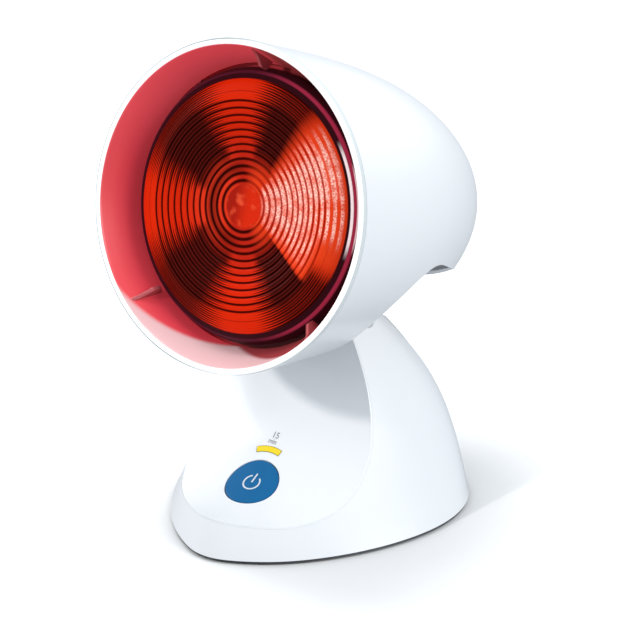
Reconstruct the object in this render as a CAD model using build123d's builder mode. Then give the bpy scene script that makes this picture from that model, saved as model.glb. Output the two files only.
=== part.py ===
from build123d import *
import os
from math import hypot, pi, radians, sin, cos, sqrt

os.makedirs("parts", exist_ok=True)

# Infrared heat lamp for the table, in millimetres. +Z is up and the lamp shines towards -Y.
# The origin lies on the table, straight below the tilt axis, which runs along X.

# ---- Lamp: pressed glass, 121 mm across, with a 27 mm screw cap; depths run back from the rim plane ----
lamp_radius = 60.5
lamp_recess = 17.0  # rim plane back to the lamp's flange
flange_half = 3.0  # thickness of either glass half at the flange
lens_dome = 8.0
lens_thick = 3.0
lens_ring_count = 17
lens_ring_rise = 0.6
lens_eye_radius = 8.0
glass_wall = 2.0
glass_neck_radius = 14.8
glass_neck_end = 110.0
cap_overlap = 5.0  # how far the cap's collar reaches over the neck
cap_collar_radius = 15.7
cap_collar_start = glass_neck_end - cap_overlap
cap_radius = 13.1
cap_wall = 0.8
thread_start = glass_neck_end + 2.5
thread_pitch = 3.6
thread_turns = 6
thread_depth = 1.1
cap_end = thread_start + thread_turns * thread_pitch + 2.4
insulator_length = 4.5
insulator_radius = 10.0
lamp_contact_radius = 4.8
lamp_contact_length = 3.5
lamp_contact_end = cap_end + insulator_length + lamp_contact_length
filament_bend = 8.0
filament_radius = 0.6
filament_setback = 32.0  # filament ahead of the neck's end
filament_depth = glass_neck_end - filament_setback
filament_post_radius = 0.8

# ---- Lampholder and the tube round it ----
tube_bore = 21.5
tube_setback = 9.0
tube_start = glass_neck_end - tube_setback
holder_radius = 21.0
holder_bore = 15.2
holder_mouth = glass_neck_end + 1.0
holder_floor = 5.0
holder_contact_room = 2.5
holder_bore_end = lamp_contact_end + holder_contact_room
holder_shell_gap = 0.25
holder_shell_radius = 15.0
holder_screw_circle = 18.1
holder_screw_length = 10.0
strip_width = 7.0
strip_thick = 0.6
housing_floor_depth = holder_bore_end + holder_floor
housing_floor_thick = 2.5

# ---- Shade ----
mouth_margin = 12.3  # shade's mouth outside the lamp's edge
mouth_radius = lamp_radius + mouth_margin
shade_wall = 2.0
rim_ring_length = 3.0
rim_ring_setback = 0.1
rim_ring_radius = mouth_radius - rim_ring_setback
belly_depth = 52.0
belly_taper = 6.0
belly_radius = mouth_radius - belly_taper
shoulder_depth = tube_start - 2.0
shoulder_taper = 16.1
shoulder_radius = mouth_radius - shoulder_taper
hip_depth = housing_floor_depth - 12.0
hip_radius = 38.3
dome_start_depth = housing_floor_depth + 4.0
dome_start_radius = 27.1
dome_radius = 34.0
liner_gap = 0.2
rim_face = 2.9  # width of the white ring round the mouth
liner_mouth_radius = mouth_radius - rim_face
lamp_edge_room = 1.8
liner_throat_radius = lamp_radius + lamp_edge_room
liner_wall = 1.7
liner_skirt_end = 12.0
liner_end = lamp_recess + 5.0
liner_rib_count = 3
liner_rib_width = 2.0
liner_rib_rise = 1.6

# ---- Lamp housing: the structural cup behind the lamp ----
housing_wall = 1.8
lamp_gap = 2.5  # glass to the cup's inside
housing_flange_depth = 26.0
housing_flange_thick = 2.5
housing_flange_radius = mouth_radius - 6.4
vent_angle_step = 45
vent_width = 6.0
vent_start = 50.0
vent_end = 74.0
boss_circle = mouth_radius - 8.6
boss_width = 9.0
boss_length = 15.0
boss_inner_radius = boss_circle - 2.3
boss_start_angle = 45
screw_radius = 1.45
screw_gap = 0.15
screw_head_radius = 2.6
screw_head_height = 2.0
housing_screw_length = 12.0
slot_width = 0.8
slot_depth = 0.9

# ---- How the head stands ----
rest_tilt = 16.8  # beam above level, degrees
pivot_height = 94.0
rim_drop = 3.1  # how much less than the mouth's radius the rim's centre stands above the tilt axis
rim_centre_height = pivot_height + mouth_radius - rim_drop
pivot_share = 0.65  # tilt axis behind the rim's centre, as a share of the glass's length
rim_to_pivot = glass_neck_end * pivot_share
tilt_down_travel = 16.8  # from rest to a level beam, degrees
tilt_up_travel = 13.2  # from rest to the steepest beam, degrees

# ---- Tilt joint ----
knuckle_radius = 12.5
hub_radius = 12.0
hub_wall = 3.0
hub_gap = 0.4
cheek_inner = 15.0
cheek_thick = 3.5
cheek_foot = pivot_height - 22.0
tongue_half_width = 14.0
tongue_plate = 2.5
tongue_top = pivot_height + 28.0
washer_radius = 9.0
washer_rub_gap = 0.1
pivot_radius = 3.0
pivot_gap = 0.05
pivot_boss_radius = 8.0
pivot_head_radius = 5.5
pivot_head_height = 2.5
pivot_end = 7.4
spring_washer_thick = 1.0
spring_washer_radius = 5.6
pivot_nut_width = 9.0
pivot_nut_thick = 2.6
stop_lug_half_angle = 12.0
stop_lug_reach = 4.0
stop_lug_inner = 9.5  # distance of the lug's and ribs' inner faces from the middle
stop_gap_angle = 1.0
stop_rib_angle = 11.0
lead_window_half = 8.0
lead_window_angle = 38.0
knuckle_shoulder_angle = 40.0
knuckle_foot = pivot_height - 14.0
slot_front_angle = 19.0
slot_rear_angle = 30.0  # leaves room for the lead when the head leans back

# ---- Arch cut through the shade's lower rear ----
cutout_front = 37.0  # the cut-out's edge ahead of the tilt axis
cutout_rear = 58.5
cutout_top = pivot_height + 33.0
cutout_foot = pivot_height - 12.0

# ---- Leads ----
lead_radius = 1.8
lead_offset = 5.0
lead_bend = 4.5
lead_hole_gap = 0.4
lead_entry_setback = 6.0
lead_entry_depth = holder_bore_end - lead_entry_setback  # where the lead turns into the tube
lead_under_gap = 2.4
lead_run_drop = tube_bore + housing_wall + lead_radius + lead_under_gap  # below the beam axis
lead_end_drop = 17.0
clip_setback = 23.0
clip_depth = lead_entry_depth - clip_setback
clip_length = 5.0

# ---- Base body: egg-shaped level sections, as (height, half width, front, rear) ----
base_stations = [
    (0.0, 68.4, 90.9, 56.1),
    (30.0, 55.1, 80.4, 56.1),
    (pivot_height - 34.0, 40.8, 65.7, 44.2),
    (pivot_height - 4.0, 24.8, 47.4, 20.6),
    (pivot_height + 19.0, 17.0, 31.5, 6.5),
]
widest_share = 0.62  # where a section is widest, as a share of its length from the front
front_power = 1.66  # 2 is an ellipse, more is squarer
rear_power = 2.3
base_wall = 2.6
base_edge_height = 2.0

# ---- Front panel: a crowned sheet that falls from the neck and runs out flat ----
panel_neck_front = 14.9
panel_neck_bend = 88.25
panel_neck_sweep = 28.9
panel_dish_bend = 66.57
panel_foot_bend = 54.3
panel_foot_sweep = 33.8
panel_crown_radius = 170.0
panel_lip = 0.8
panel_thick = 2.4
panel_seam = 0.1
panel_inner_gap = 0.25
panel_top = pivot_height - 4.0
panel_half_width = 75.0
panel_run_out = 60.0

# ---- Button, switch and light ----
button_slope = 26.0
button_height = 23.7
button_radius = 12.6
button_gap = 0.35
button_rise = 0.6
button_wall = 1.6
button_flange = 1.2
button_flange_depth = 3.3
button_skirt_end = 4.4
button_stem_radius = 2.2
button_travel = 1.0
board_depth = 11.5  # show surface down to the control board
control_board_width = 36.0
control_board_length = 40.0
control_board_shift = 3.5
board_thick = 1.6
switch_width = 6.2
switch_height = 4.0
plunger_radius = 1.7
plunger_gap = 0.05
plunger_length = 3.0
window_radius = 18.5  # the light window bends round the button
window_turn = 7.0  # its middle left of straight up, degrees
window_width = 2.6
window_half_angle = 16.0
window_gap = 0.15
led_radius = 1.5
led_height = 4.0
standoff_radius = 2.6
standoff_x = 14.5
board_screw_radius = 1.2
board_screw_length = 6.0
board_screw_head_radius = 2.2
board_screw_head_height = 1.4

# ---- Base plate, feet, power board ----
plate_bottom = 0.8
plate_inset = 0.9
plate_thick = 2.6
foot_pad_radius = 6.0
foot_pad_recess = 1.2
pad_gap = 0.1
base_posts = [(44.0, -40.0), (-44.0, -40.0), (42.0, 32.0), (-42.0, 32.0)]
base_pads = [(36.0, -54.0), (-36.0, -54.0), (34.0, 42.0), (-34.0, 42.0)]
base_post_radius = 4.2
base_screw_length = 13.0
power_board_width = 62.0
power_board_length = 44.0
power_board_y = 8.0
power_board_height = 9.0
board_post_radius = 3.2
board_post_inset = 4.0

# ---- Mains inlet bush ----
inlet_height = 15.0
inlet_bore = 3.5
inlet_radius = 5.6
inlet_flange_radius = 8.0
inlet_flange_thick = 1.6
inlet_length = 12.0
inlet_gap = 0.1

# ---- Frames the pieces are drawn in ----
tilt = radians(rest_tilt)
up_beam = Vector(0, sin(tilt), cos(tilt))
back_beam = Vector(0, cos(tilt), -sin(tilt))
rim_centre = Vector(0, -rim_to_pivot, rim_centre_height)
pivot_centre = Vector(0, 0, pivot_height)
head_axis = Axis(rim_centre, back_beam)
# Half-profiles of the head: local x is the radius, local y the depth behind the rim plane.
head_side = Plane(origin=rim_centre, x_dir=up_beam, z_dir=(-1, 0, 0))
pivot_side = Plane(origin=pivot_centre, x_dir=(0, 1, 0), z_dir=(1, 0, 0))


def head_level(depth):
    """Plane across the beam at a depth: local x is X, local y points down."""
    return Plane(origin=rim_centre + back_beam * depth, x_dir=(1, 0, 0), z_dir=back_beam)


def head_slice(angle):
    """Half-plane of the head turned about the beam from the top: local x is the radius, local y the depth."""
    outwards = up_beam * cos(radians(angle)) + Vector(1, 0, 0) * sin(radians(angle))
    return Plane(origin=rim_centre, x_dir=outwards, z_dir=outwards.cross(back_beam))


def save(piece, name):
    """Label a finished piece and write it as its own file."""
    piece.part.label = name
    export_step(piece.part, f"parts/{name}.step")


# ======================= Outer shade =======================

def shade_outline(inset):
    """Half-profile of the shade's form, closed on the beam axis and moved inwards along its normal."""
    lean = sqrt(dome_radius**2 - dome_start_radius**2)
    dome_centre = dome_start_depth - lean
    sizes = [
        (mouth_radius, 0.0),
        (belly_radius, belly_depth),
        (shoulder_radius, shoulder_depth),
        (hip_radius, hip_depth),
        (dome_start_radius, dome_start_depth),
    ]
    stations = []
    for index, (radius, depth) in enumerate(sizes):
        before = sizes[max(index - 1, 0)]
        after = sizes[min(index + 1, len(sizes) - 1)]
        run, fall = after[1] - before[1], before[0] - after[0]
        if index == len(sizes) - 1:
            run, fall = dome_start_radius, lean
        length = hypot(run, fall)
        stations.append((radius - inset * run / length, depth - inset * fall / length))
    small = dome_radius - inset
    with BuildSketch() as outline:
        with BuildLine():
            side = Spline(
                *stations,
                tangents=[(belly_radius - mouth_radius, belly_depth), (-lean, dome_start_radius)],
            )
            tip = ThreePointArc(
                side @ 1,
                (small * sin(radians(27)), dome_centre + small * cos(radians(27))),
                (0, dome_centre + small),
            )
            Polyline(tip @ 1, (0, (side @ 0).Y), side @ 0)
        make_face()
    return outline.sketch


with BuildPart() as shade_cutout:
    # Arch through both sides of the shade's lower rear, over the base's neck
    with BuildSketch(Plane.YZ):
        with BuildLine():
            bow = Spline(
                (-cutout_front, cutout_foot),
                (-cutout_front + 2, cutout_top - 13),
                (-cutout_front + 19, cutout_top - 3),
                (0, cutout_top),
                (cutout_rear - 39.5, cutout_top - 8),
                (cutout_rear - 22.5, cutout_top - 17.2),
                (cutout_rear - 7.5, cutout_top - 26.3),
                (cutout_rear - 1.2, cutout_top - 34),
                (cutout_rear, cutout_foot + 2),
            )
            Polyline(bow @ 1, (cutout_rear, 20), (-cutout_front, 20), bow @ 0)
        make_face()
    extrude(amount=mouth_radius * 1.5, both=True)

boss_start = housing_flange_depth + housing_flange_thick
with BuildPart() as shade_bosses:
    with BuildSketch(head_level(boss_start)):
        with PolarLocations(boss_inner_radius, 4, start_angle=boss_start_angle):
            Rectangle(mouth_radius, boss_width, align=(Align.MIN, Align.CENTER))
    extrude(amount=boss_length)
    with BuildSketch(head_side):
        add(shade_outline(shade_wall / 2))
    revolve(axis=head_axis, mode=Mode.INTERSECT)
    with BuildSketch(head_level(boss_start)):
        with PolarLocations(boss_circle, 4, start_angle=boss_start_angle):
            Circle(screw_radius + screw_gap)
    extrude(amount=housing_screw_length, mode=Mode.SUBTRACT)

# Moulded shade: a smooth horn with a round back, open at the front and arched over the neck
with BuildPart() as shade:
    with BuildSketch(head_side):
        add(shade_outline(0))
    revolve(axis=head_axis)
    with BuildSketch(head_side):
        add(shade_outline(shade_wall))
    revolve(axis=head_axis, mode=Mode.SUBTRACT)
    split(bisect_by=head_level(rim_ring_length), keep=Keep.TOP)
    add(shade_bosses.part)
    add(shade_cutout.part, mode=Mode.SUBTRACT)
save(shade, "shade")

# ======================= Front ring and reflector funnel =======================

with BuildPart() as shade_liner:
    with BuildSketch(head_side):
        with BuildLine():
            mouth_slope = (mouth_radius - belly_radius) / belly_depth
            skirt_front = mouth_radius - shade_wall - liner_gap - mouth_slope * rim_ring_length
            skirt_back = mouth_radius - shade_wall - liner_gap - mouth_slope * liner_skirt_end
            funnel_slope = (liner_mouth_radius - liner_throat_radius) / liner_end
            Polyline(
                (liner_mouth_radius, 0),
                (rim_ring_radius, 0),
                (rim_ring_radius, rim_ring_length),
                (skirt_front, rim_ring_length),
                (skirt_back, liner_skirt_end),
                (liner_mouth_radius + liner_wall - funnel_slope * liner_skirt_end, liner_skirt_end),
                (liner_throat_radius + liner_wall, liner_end),
                (liner_throat_radius, liner_end),
                close=True,
            )
        make_face()
    revolve(axis=head_axis)
    # Three wedge ribs steady the lamp's edge
    with BuildSketch(*[head_slice(360 / liner_rib_count * turn) for turn in range(liner_rib_count)]):
        with BuildLine():
            Polyline(
                (liner_mouth_radius - funnel_slope * 2 + 0.7, 2),
                (liner_throat_radius + 0.7, liner_end),
                (liner_throat_radius - liner_rib_rise, liner_end),
                (liner_throat_radius - liner_rib_rise + 0.6, liner_end - 3),
                close=True,
            )
        make_face()
    extrude(amount=liner_rib_width / 2, both=True)
save(shade_liner, "shade_liner")

# ======================= Lamp =======================

lens_sphere = ((lamp_radius - 2.5) ** 2 + lens_dome**2) / (2 * lens_dome)
lens_front = lamp_recess - lens_dome


def lens_depth(radius):
    """Depth of the lens's front behind the rim plane, at a radius."""
    return lens_front + lens_sphere - sqrt(lens_sphere**2 - radius**2)


def lens_back_depth(radius):
    """Depth of the lens's back, on a sphere about the same centre as the front."""
    return lens_front + lens_sphere - sqrt((lens_sphere - lens_thick) ** 2 - radius**2)


# Pressed lens: a smooth eye ringed by saw-toothed steps, on a flat flange
with BuildPart() as bulb_lens:
    ring_pitch = (lamp_radius - 2.5 - lens_eye_radius) / lens_ring_count
    with BuildSketch(head_side):
        with BuildLine():
            eye = ThreePointArc(
                (0, lens_front),
                (lens_eye_radius / 2, lens_depth(lens_eye_radius / 2)),
                (lens_eye_radius, lens_depth(lens_eye_radius)),
            )
            teeth = [eye @ 1]
            for ring in range(1, lens_ring_count + 1):
                radius = lens_eye_radius + ring * ring_pitch
                teeth.append((radius, lens_depth(radius) + lens_ring_rise * (ring < lens_ring_count)))
                if ring < lens_ring_count:
                    teeth.append((radius, lens_depth(radius)))
            stairs = Polyline(*teeth)
            flange_front = lamp_recess + flange_half
            back_edge = lamp_radius - 6
            back = ThreePointArc(
                (0, lens_front + lens_thick),
                (back_edge / 2, lens_back_depth(back_edge / 2)),
                (back_edge, lens_back_depth(back_edge)),
            )
            Polyline(
                stairs @ 1,
                (lamp_radius, lamp_recess),
                (lamp_radius, flange_front),
                (back_edge, flange_front),
                back @ 1,
            )
            Line(back @ 0, eye @ 0)
        make_face()
    revolve(axis=head_axis)
save(bulb_lens, "bulb_lens")

bowl_front = lamp_recess + flange_half
# Bowl of the lamp as (share of its radius, share of its length), ending in the neck
bowl_shares = [(0.81, 0.41), (0.595, 0.627), (0.397, 0.81)]
bowl_sides = [(lamp_radius * across, glass_neck_end * along) for across, along in bowl_shares]
bowl_points = [
    (lamp_radius - 2.5, bowl_front + flange_half),
    *bowl_sides,
    (glass_neck_radius + 2.4, glass_neck_end - tube_setback),
    (glass_neck_radius, glass_neck_end - 4.5),
]
with BuildPart() as bulb_reflector:
    with BuildSketch(head_side):
        with BuildLine():
            bowl = Spline(*bowl_points, tangents=[(-0.35, 1), (-0.15, 1)])
            Polyline(bowl @ 1, (glass_neck_radius, glass_neck_end), (0, glass_neck_end))
            neck_floor = glass_neck_end - glass_wall
            Polyline((0, glass_neck_end), (0, neck_floor), (glass_neck_radius - glass_wall, neck_floor))
            inner = Spline(
                *[(r - glass_wall, s - 0.3) for r, s in bowl_points],
                tangents=[(-0.35, 1), (-0.15, 1)],
            )
            Line((glass_neck_radius - glass_wall, neck_floor), inner @ 1)
            Polyline(
                inner @ 0,
                (lamp_radius - 5.5, bowl_front),
                (lamp_radius, bowl_front),
                (lamp_radius, bowl_front + flange_half - 0.4),
                bowl @ 0,
            )
        make_face()
    revolve(axis=head_axis)
    with BuildSketch(head_level(glass_neck_end - glass_wall - 1)):
        with Locations((filament_bend, 0), (-filament_bend, 0)):
            Circle(filament_post_radius + 0.1)
    extrude(amount=glass_wall + 2, mode=Mode.SUBTRACT)
save(bulb_reflector, "bulb_reflector")


def thread_points(radius):
    """Zigzag of a screw shell: crest and root points of every turn."""
    points = [(radius - thread_depth, thread_start)]
    for turn in range(thread_turns):
        points.append((radius, thread_start + (turn + 0.5) * thread_pitch))
        points.append((radius - thread_depth, thread_start + (turn + 1) * thread_pitch))
    return points


# Sheet-metal screw cap on the glass neck
with BuildPart() as bulb_cap:
    with BuildSketch(head_side):
        with BuildLine():
            crest_line = thread_points(cap_radius)
            Polyline(
                (cap_collar_radius, cap_collar_start),
                (cap_collar_radius, glass_neck_end),
                *crest_line,
                (insulator_radius, cap_end),
                (insulator_radius - cap_wall, cap_end),
                (cap_radius - thread_depth - cap_wall, thread_start + thread_turns * thread_pitch),
                (cap_radius - thread_depth - cap_wall, glass_neck_end + 0.1),
                (glass_neck_radius + 0.1, glass_neck_end + 0.1),
                (glass_neck_radius + 0.1, cap_collar_start),
                close=True,
            )
        make_face()
    revolve(axis=head_axis)
save(bulb_cap, "bulb_cap")

with BuildPart() as bulb_insulator:
    with BuildSketch(head_side):
        with BuildLine():
            Polyline(
                (0, cap_end),
                (insulator_radius, cap_end),
                (lamp_contact_radius + 1, cap_end + insulator_length),
                (0, cap_end + insulator_length),
                close=True,
            )
        make_face()
    revolve(axis=head_axis)
save(bulb_insulator, "bulb_insulator")

with BuildPart() as bulb_contact:
    with BuildSketch(head_level(cap_end + insulator_length)):
        Circle(lamp_contact_radius)
    extrude(amount=lamp_contact_end - cap_end - insulator_length)
    fillet(bulb_contact.faces().sort_by(head_axis)[-1].edges(), radius=1.0)
save(bulb_contact, "bulb_contact")

# Heating wire: a bow between two posts
with BuildPart() as filament:
    with BuildLine(head_level(filament_depth)) as bow_line:
        CenterArc((0, 0), filament_bend, 0, 180)
    with BuildSketch(Plane(origin=bow_line.line @ 0, z_dir=bow_line.line % 0)):
        Circle(filament_radius)
    sweep()
save(filament, "filament")

with BuildPart() as filament_posts:
    with BuildSketch(head_level(filament_depth + filament_radius)):
        with Locations((filament_bend, 0), (-filament_bend, 0)):
            Circle(filament_post_radius)
    extrude(amount=glass_neck_end + 6 - filament_depth)
save(filament_posts, "filament_posts")

# ======================= Lamp housing with the tilt tongue =======================

cup_points = [
    (lamp_radius - 1.2, housing_flange_depth),
    *[(r + lamp_gap, s) for r, s in bowl_sides],
    (tube_bore, tube_start),
]
with BuildPart() as lamp_space:
    # Room inside the cup and the tube
    with BuildSketch(head_side):
        with BuildLine():
            cup = Spline(*cup_points, tangents=[(-0.4, 1), (-0.25, 1)])
            Polyline(
                cup @ 1,
                (tube_bore, housing_floor_depth),
                (0, housing_floor_depth),
                (0, 0),
                (cup_points[0][0], 0),
                cup @ 0,
            )
        make_face()
    revolve(axis=head_axis)

lead_entry = Plane(
    origin=rim_centre + back_beam * lead_entry_depth + Vector(lead_offset, 0, 0),
    x_dir=(1, 0, 0),
    z_dir=up_beam * -1,
)

with BuildPart() as lamp_housing:
    with BuildSketch(head_side):
        with BuildLine():
            rear_end = housing_floor_depth + housing_floor_thick
            skin = Spline(
                (cup_points[0][0] + 0.9, boss_start),
                *[(r + housing_wall, s + 0.6) for r, s in cup_points[1:-1]],
                (tube_bore + housing_wall, tube_start + 1),
                tangents=[(-0.4, 1), (-0.25, 1)],
            )
            Polyline(
                skin @ 1,
                (tube_bore + housing_wall, rear_end),
                (0, rear_end),
                (0, housing_flange_depth),
                (housing_flange_radius, housing_flange_depth),
                (housing_flange_radius, boss_start),
                skin @ 0,
            )
        make_face()
    revolve(axis=head_axis)
    # Tongue: two side plates joined by a web in front and the hub below
    with BuildSketch(Plane.YZ) as plate_outline:
        with BuildLine():
            Polyline(
                (-hub_radius, pivot_height),
                (-8.5, tongue_top),
                (13.0, tongue_top - 3),
                (hub_radius, pivot_height),
                close=True,
            )
        make_face()
        with Locations((0, pivot_height)):
            Circle(hub_radius)
    extrude(amount=tongue_half_width, both=True)
    with BuildSketch(Plane.YZ):
        with BuildLine():
            Polyline(
                (-hub_radius + hub_wall, pivot_height),
                (-8.5 + 2.2, tongue_top + 1),
                (13.5, tongue_top + 1),
                (hub_radius + 2, pivot_height + 1),
                (hub_radius - hub_wall, pivot_height),
                close=True,
            )
        make_face()
        with Locations((0, pivot_height)):
            Circle(hub_radius - hub_wall)
    extrude(amount=tongue_half_width - tongue_plate, both=True, mode=Mode.SUBTRACT)
    # Stop lugs under the hub, either side of the lead's way
    with BuildSketch(pivot_side):
        with BuildLine():
            lug_reach = hub_radius + stop_lug_reach
            lug_half = lug_reach * sin(radians(stop_lug_half_angle))
            Polyline((0, 0), (-lug_half, -lug_reach), (lug_half, -lug_reach), close=True)
        make_face()
        Circle(lug_reach, mode=Mode.INTERSECT)
        Circle(hub_radius - hub_wall, mode=Mode.SUBTRACT)
    extrude(amount=tongue_half_width, both=True)
    with BuildSketch(pivot_side):
        with BuildLine():
            reach = 2 * hub_radius
            Polyline(
                (0, 0),
                (-reach * sin(radians(lead_window_angle)), -reach * cos(radians(lead_window_angle))),
                (reach * sin(radians(lead_window_angle)), -reach * cos(radians(lead_window_angle))),
                close=True,
            )
        make_face()
    extrude(amount=lead_window_half, both=True, mode=Mode.SUBTRACT)
    add(lamp_space.part, mode=Mode.SUBTRACT)
    # Pivot holes through the plates
    with BuildSketch(pivot_side):
        Circle(pivot_radius + pivot_gap)
    extrude(amount=tongue_half_width + 1, both=True, mode=Mode.SUBTRACT)
    # Screw holes in the flange
    with BuildSketch(head_level(housing_flange_depth - 1)):
        with PolarLocations(boss_circle, 4, start_angle=boss_start_angle):
            Circle(screw_radius + screw_gap)
    extrude(amount=housing_flange_thick + 2, mode=Mode.SUBTRACT)
    # Holes in the floor for the holder's screws
    with BuildSketch(head_level(housing_floor_depth - 1)):
        with Locations((holder_screw_circle, 0), (-holder_screw_circle, 0)):
            Circle(screw_radius + screw_gap)
    extrude(amount=housing_floor_thick + 2, mode=Mode.SUBTRACT)
    # Cooling slots round the cup, none over the tongue
    for turn in range(-3, 4):
        outwards = head_slice(turn * vent_angle_step).x_dir
        with BuildSketch(Plane(origin=rim_centre, x_dir=back_beam, z_dir=outwards)):
            with Locations(((vent_start + vent_end) / 2, 0)):
                SlotOverall(vent_end - vent_start, vent_width)
        extrude(amount=mouth_radius, mode=Mode.SUBTRACT)
    # Way for the lead into the tube
    with BuildSketch(lead_entry):
        Circle(lead_radius + lead_hole_gap)
    extrude(amount=30, mode=Mode.SUBTRACT)
save(lamp_housing, "lamp_housing")

with BuildPart() as housing_screws:
    with BuildSketch(head_level(housing_flange_depth)):
        with PolarLocations(boss_circle, 4, start_angle=boss_start_angle):
            Circle(screw_head_radius)
    extrude(amount=-screw_head_height)
    with BuildSketch(head_level(housing_flange_depth)):
        with PolarLocations(boss_circle, 4, start_angle=boss_start_angle):
            Circle(screw_radius)
    extrude(amount=housing_screw_length)
    with BuildSketch(head_level(housing_flange_depth - screw_head_height)):
        with PolarLocations(boss_circle, 4, start_angle=boss_start_angle):
            Rectangle(slot_width, screw_head_radius * 1.4)
            Rectangle(screw_head_radius * 1.4, slot_width)
    extrude(amount=slot_depth, mode=Mode.SUBTRACT)
save(housing_screws, "housing_screws")

# ======================= Lampholder =======================

# Ceramic body, bored from the front, with the lead's hole from below
with BuildPart() as lampholder_body:
    with BuildSketch(head_level(holder_mouth)):
        Circle(holder_radius)
    extrude(amount=housing_floor_depth - holder_mouth)
    chamfer(lampholder_body.faces().sort_by(head_axis)[0].edges(), length=1.0)
    with BuildSketch(head_level(holder_mouth)):
        Circle(holder_bore)
    extrude(amount=holder_bore_end - holder_mouth, mode=Mode.SUBTRACT)
    with BuildSketch(head_level(housing_floor_depth)):
        with Locations((holder_screw_circle, 0), (-holder_screw_circle, 0)):
            Circle(screw_radius + screw_gap)
    extrude(amount=-holder_screw_length, mode=Mode.SUBTRACT)
    with BuildSketch(lead_entry):
        Circle(lead_radius + lead_hole_gap)
    extrude(amount=holder_radius + 5, mode=Mode.SUBTRACT)
save(lampholder_body, "lampholder_body")

with BuildPart() as lampholder_thread:
    with BuildSketch(head_side):
        with BuildLine():
            groove = [(r + holder_shell_gap, s) for r, s in thread_points(cap_radius)]
            Polyline(
                *groove,
                (holder_shell_radius, groove[-1][1]),
                (holder_shell_radius, groove[0][1]),
                close=True,
            )
        make_face()
    revolve(axis=head_axis)
save(lampholder_thread, "lampholder_thread")

with BuildPart() as lampholder_contact:
    # Sprung strip: a raised tongue under the lamp's contact, a foot on the floor
    with BuildSketch(head_side):
        with BuildLine():
            crest = lamp_contact_end + 0.05
            Polyline(
                (12, holder_bore_end),
                (12, holder_bore_end - strip_thick),
                (6, holder_bore_end - strip_thick),
                (3, crest),
                (-4, crest),
                (-4, crest + strip_thick),
                (3.2, crest + strip_thick),
                (6.2, holder_bore_end),
                close=True,
            )
        make_face()
    extrude(amount=strip_width / 2, both=True)
save(lampholder_contact, "lampholder_contact")

with BuildPart() as lampholder_screws:
    with BuildSketch(head_level(housing_floor_depth + housing_floor_thick)):
        with Locations((holder_screw_circle, 0), (-holder_screw_circle, 0)):
            Circle(screw_head_radius)
    extrude(amount=screw_head_height)
    with BuildSketch(head_level(housing_floor_depth + housing_floor_thick)):
        with Locations((holder_screw_circle, 0), (-holder_screw_circle, 0)):
            Circle(screw_radius)
    extrude(amount=-holder_screw_length)
    with BuildSketch(head_level(housing_floor_depth + housing_floor_thick + screw_head_height)):
        with Locations((holder_screw_circle, 0), (-holder_screw_circle, 0)):
            Rectangle(slot_width, screw_head_radius * 1.4)
            Rectangle(screw_head_radius * 1.4, slot_width)
    extrude(amount=-slot_depth, mode=Mode.SUBTRACT)
save(lampholder_screws, "lampholder_screws")

# ======================= Tilt hardware =======================

sides = [1, -1]


def pivot_plane(distance, side):
    """Plane across the tilt axis at a distance from the middle, facing outwards on its side."""
    return Plane(origin=(side * distance, 0, pivot_height), x_dir=(0, side, 0), z_dir=(side, 0, 0))


cheek_outer = cheek_inner + cheek_thick
with BuildPart() as pivot_screws:
    with BuildSketch(*[pivot_plane(pivot_end, side) for side in sides]):
        Circle(pivot_radius)
    extrude(amount=cheek_outer + washer_rub_gap - pivot_end)
    with BuildSketch(*[pivot_plane(cheek_outer + washer_rub_gap, side) for side in sides]):
        Circle(pivot_head_radius)
    extrude(amount=pivot_head_height)
    head_outer = cheek_outer + washer_rub_gap + pivot_head_height
    with BuildSketch(*[pivot_plane(head_outer, side) for side in sides]):
        RegularPolygon(2.6, 6)
    extrude(amount=-1.6, mode=Mode.SUBTRACT)
save(pivot_screws, "pivot_screws")

with BuildPart() as friction_washers:
    with BuildSketch(*[pivot_plane(tongue_half_width, side) for side in sides]):
        Circle(washer_radius)
        Circle(pivot_radius + pivot_gap, mode=Mode.SUBTRACT)
    extrude(amount=cheek_inner - washer_rub_gap - tongue_half_width)
save(friction_washers, "friction_washers")

spring_start = tongue_half_width - tongue_plate
with BuildPart() as spring_washers:
    with BuildSketch(*[pivot_plane(spring_start, side) for side in sides]):
        Circle(spring_washer_radius)
        Circle(pivot_radius + pivot_gap, mode=Mode.SUBTRACT)
        with Locations((spring_washer_radius, 0)):
            Rectangle(spring_washer_radius, 0.8, mode=Mode.SUBTRACT)
    extrude(amount=-spring_washer_thick)
save(spring_washers, "spring_washers")

with BuildPart() as pivot_nuts:
    with BuildSketch(*[pivot_plane(spring_start - spring_washer_thick, side) for side in sides]):
        RegularPolygon(pivot_nut_width / 2, 6, major_radius=False)
        Circle(pivot_radius + pivot_gap, mode=Mode.SUBTRACT)
    extrude(amount=-pivot_nut_thick)
save(pivot_nuts, "pivot_nuts")

# ======================= Head lead =======================


def head_spot(depth, drop):
    """Point in the lead's plane, by depth behind the rim and drop below the beam axis."""
    return rim_centre + back_beam * depth - up_beam * drop + Vector(lead_offset, 0, 0)


lead_start = Vector(0, 0, pivot_height)
lead_turn = Vector(lead_offset, 0, pivot_height)
lead_rise = head_spot(clip_depth - 11, lead_run_drop)
with BuildPart() as lead_upper:
    with BuildLine() as upper_path:
        FilletPolyline(
            lead_start,
            lead_turn,
            lead_rise,
            head_spot(lead_entry_depth, lead_run_drop),
            head_spot(lead_entry_depth, lead_end_drop),
            radius=lead_bend,
        )
    with BuildSketch(Plane(origin=lead_start, z_dir=(1, 0, 0))):
        Circle(lead_radius)
    sweep()
save(lead_upper, "lead_upper")

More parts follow.
